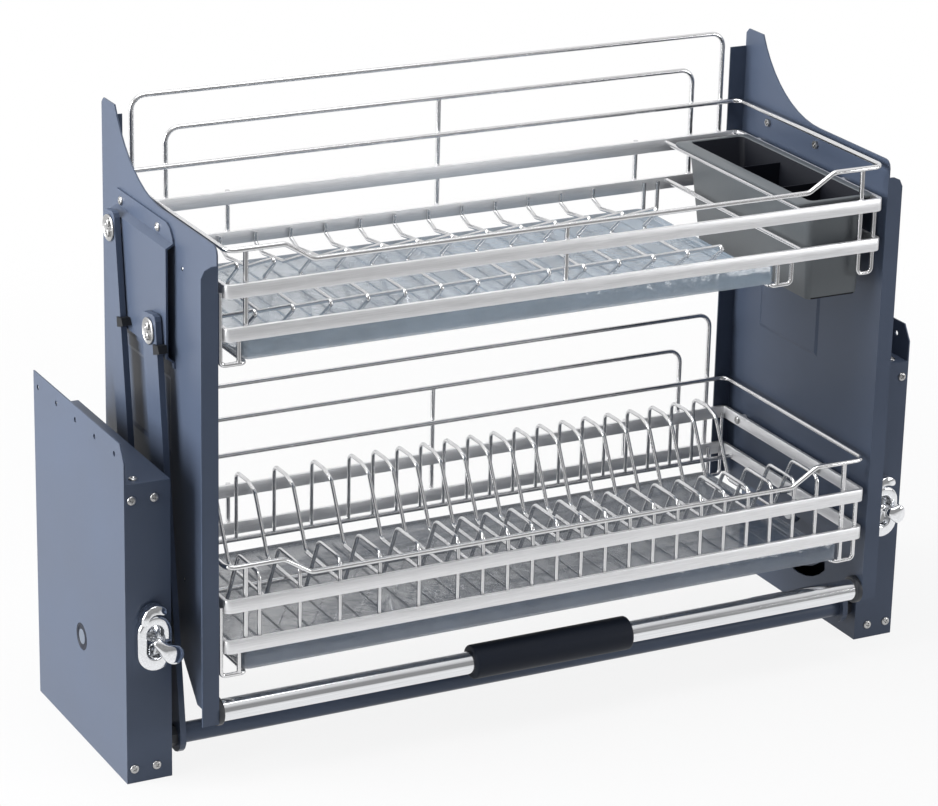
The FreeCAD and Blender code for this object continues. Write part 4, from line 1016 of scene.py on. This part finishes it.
# Light: plain studio, a broad soft light from the left, a weaker one from the front right and one above
def lamp(name, place, target, size, energy):
    data = bpy.data.lights.new(name, "AREA")
    data.shape = "RECTANGLE"
    data.size = size[0]
    data.size_y = size[1]
    data.energy = energy
    light = bpy.data.objects.new(name, data)
    bpy.context.scene.collection.objects.link(light)
    light.location = place
    light.rotation_euler = (Vector(target) - Vector(place)).to_track_quat("-Z", "Y").to_euler()


lamp("left_soft", (-3.4, 0.5, 1.3), (0.0, 0.1, 0.3), (2.6, 2.2), 232.0)
lamp("right_front", (2.3, -2.0, 0.8), (0.38, -0.1, 0.15), (0.9, 0.9), 24.0)
lamp("top_soft", (-0.2, -0.2, 3.0), (0.0, 0.0, 0.3), (2.4, 1.8), 60.0)


# Shader helpers for the world and the floor
def math_node(tree, operation, *values):
    node = tree.nodes.new("ShaderNodeMath")
    node.operation = operation
    for socket, value in zip(node.inputs, values):
        if isinstance(value, (int, float)):
            socket.default_value = value
        else:
            tree.links.new(value, socket)
    return node.outputs[0]


def step_range(tree, value, low, high, start, end):
    """Turns smoothly from start to end as the value goes from low to high."""
    node = tree.nodes.new("ShaderNodeMapRange")
    node.interpolation_type = "SMOOTHSTEP"
    node.inputs["From Min"].default_value = low
    node.inputs["From Max"].default_value = high
    node.inputs["To Min"].default_value = start
    node.inputs["To Max"].default_value = end
    tree.links.new(value, node.inputs["Value"])
    return node.outputs["Result"]


def glow(tree, kind, color, strength):
    """Background or emission of a colour, with a plain or a linked strength."""
    node = tree.nodes.new(kind)
    node.inputs["Color"].default_value = (*color, 1.0)
    if isinstance(strength, (int, float)):
        node.inputs["Strength"].default_value = strength
    else:
        tree.links.new(strength, node.inputs["Strength"])
    return node.outputs[0]


def shader_mix(tree, share, low, high):
    """The shader low where share is 0, high where it is 1."""
    node = tree.nodes.new("ShaderNodeMixShader")
    tree.links.new(share, node.inputs["Fac"])
    tree.links.new(low, node.inputs[1])
    tree.links.new(high, node.inputs[2])
    return node.outputs[0]


def rays_and_axes(tree, kind):
    """Light Path outputs, a value that is 1 for what the camera sees, the coordinate and its axes."""
    rays = tree.nodes.new("ShaderNodeLightPath").outputs
    direct = math_node(tree, "MAXIMUM", rays["Is Camera Ray"], rays["Is Transmission Ray"])
    place = tree.nodes.new("ShaderNodeTexCoord").outputs[kind]
    axes = tree.nodes.new("ShaderNodeSeparateXYZ")
    tree.links.new(place, axes.inputs[0])
    return rays, direct, place, axes.outputs


# World: white for the camera, in reflections white behind and above and dim in front, else ambient
WHITE = (1.0, 1.0, 1.0)
world = bpy.data.worlds.new("studio")
bpy.context.scene.world = world
world.use_nodes = True
tree = world.node_tree
tree.nodes.clear()
rays, direct, _, axes = rays_and_axes(tree, "Generated")
behind = step_range(tree, axes["Y"], -0.55, 0.2, 0.32, 1.0)
above = step_range(tree, axes["Z"], 0.3, 0.8, 0.0, 0.85)
mirrored = math_node(tree, "MAXIMUM", behind, above)
shown = math_node(tree, "MAXIMUM", direct, rays["Is Glossy Ray"])
ambient = glow(tree, "ShaderNodeBackground", (0.86, 0.9, 1.0), 0.24)
white = glow(tree, "ShaderNodeBackground", WHITE, math_node(tree, "MAXIMUM", direct, mirrored))
output = tree.nodes.new("ShaderNodeOutputWorld")
tree.links.new(shader_mix(tree, shown, ambient, white), output.inputs["Surface"])

# Floor: clear but for the soft shadow, also from below, and in reflections bright near the object only
FLOOR_HALF = 6.0
FLOOR_DROP = 0.0005
bm = bmesh.new()
bmesh.ops.create_grid(bm, x_segments=1, y_segments=1, size=FLOOR_HALF)
mesh = bpy.data.meshes.new("floor")
bm.to_mesh(mesh)
bm.free()
floor = bpy.data.objects.new("floor", mesh)
floor.location = (0.0, 0.0, -FLOOR_DROP)
bpy.context.scene.collection.objects.link(floor)
material, tree, shader = new_material("floor_white", (0.62, 0.62, 0.62), 0.0, 0.9)
shader.inputs["Specular IOR Level"].default_value = 0.0
rays, direct, place, axes = rays_and_axes(tree, "Object")
distance = tree.nodes.new("ShaderNodeVectorMath")
distance.operation = "LENGTH"
tree.links.new(place, distance.inputs[0])
clear = step_range(tree, distance.outputs["Value"], 0.5, 1.6, 0.88, 1.0)
near = step_range(tree, axes["Y"], -1.3, -0.25, 0.28, 1.0)
seen = math_node(tree, "MULTIPLY", math_node(tree, "MAXIMUM", direct, rays["Is Shadow Ray"]), clear)
under = tree.nodes.new("ShaderNodeNewGeometry").outputs["Backfacing"]
bright = glow(tree, "ShaderNodeEmission", WHITE, near)
mirrored = math_node(tree, "MULTIPLY", rays["Is Glossy Ray"], 0.94)
surface = shader_mix(tree, mirrored, shader.outputs[0], bright)
window = tree.nodes.new("ShaderNodeBsdfTransparent").outputs[0]
surface = shader_mix(tree, math_node(tree, "MAXIMUM", seen, under), surface, window)
tree.links.new(surface, tree.nodes["Material Output"].inputs["Surface"])
mesh.materials.append(material)

bpy.context.scene.view_settings.view_transform = "Standard"
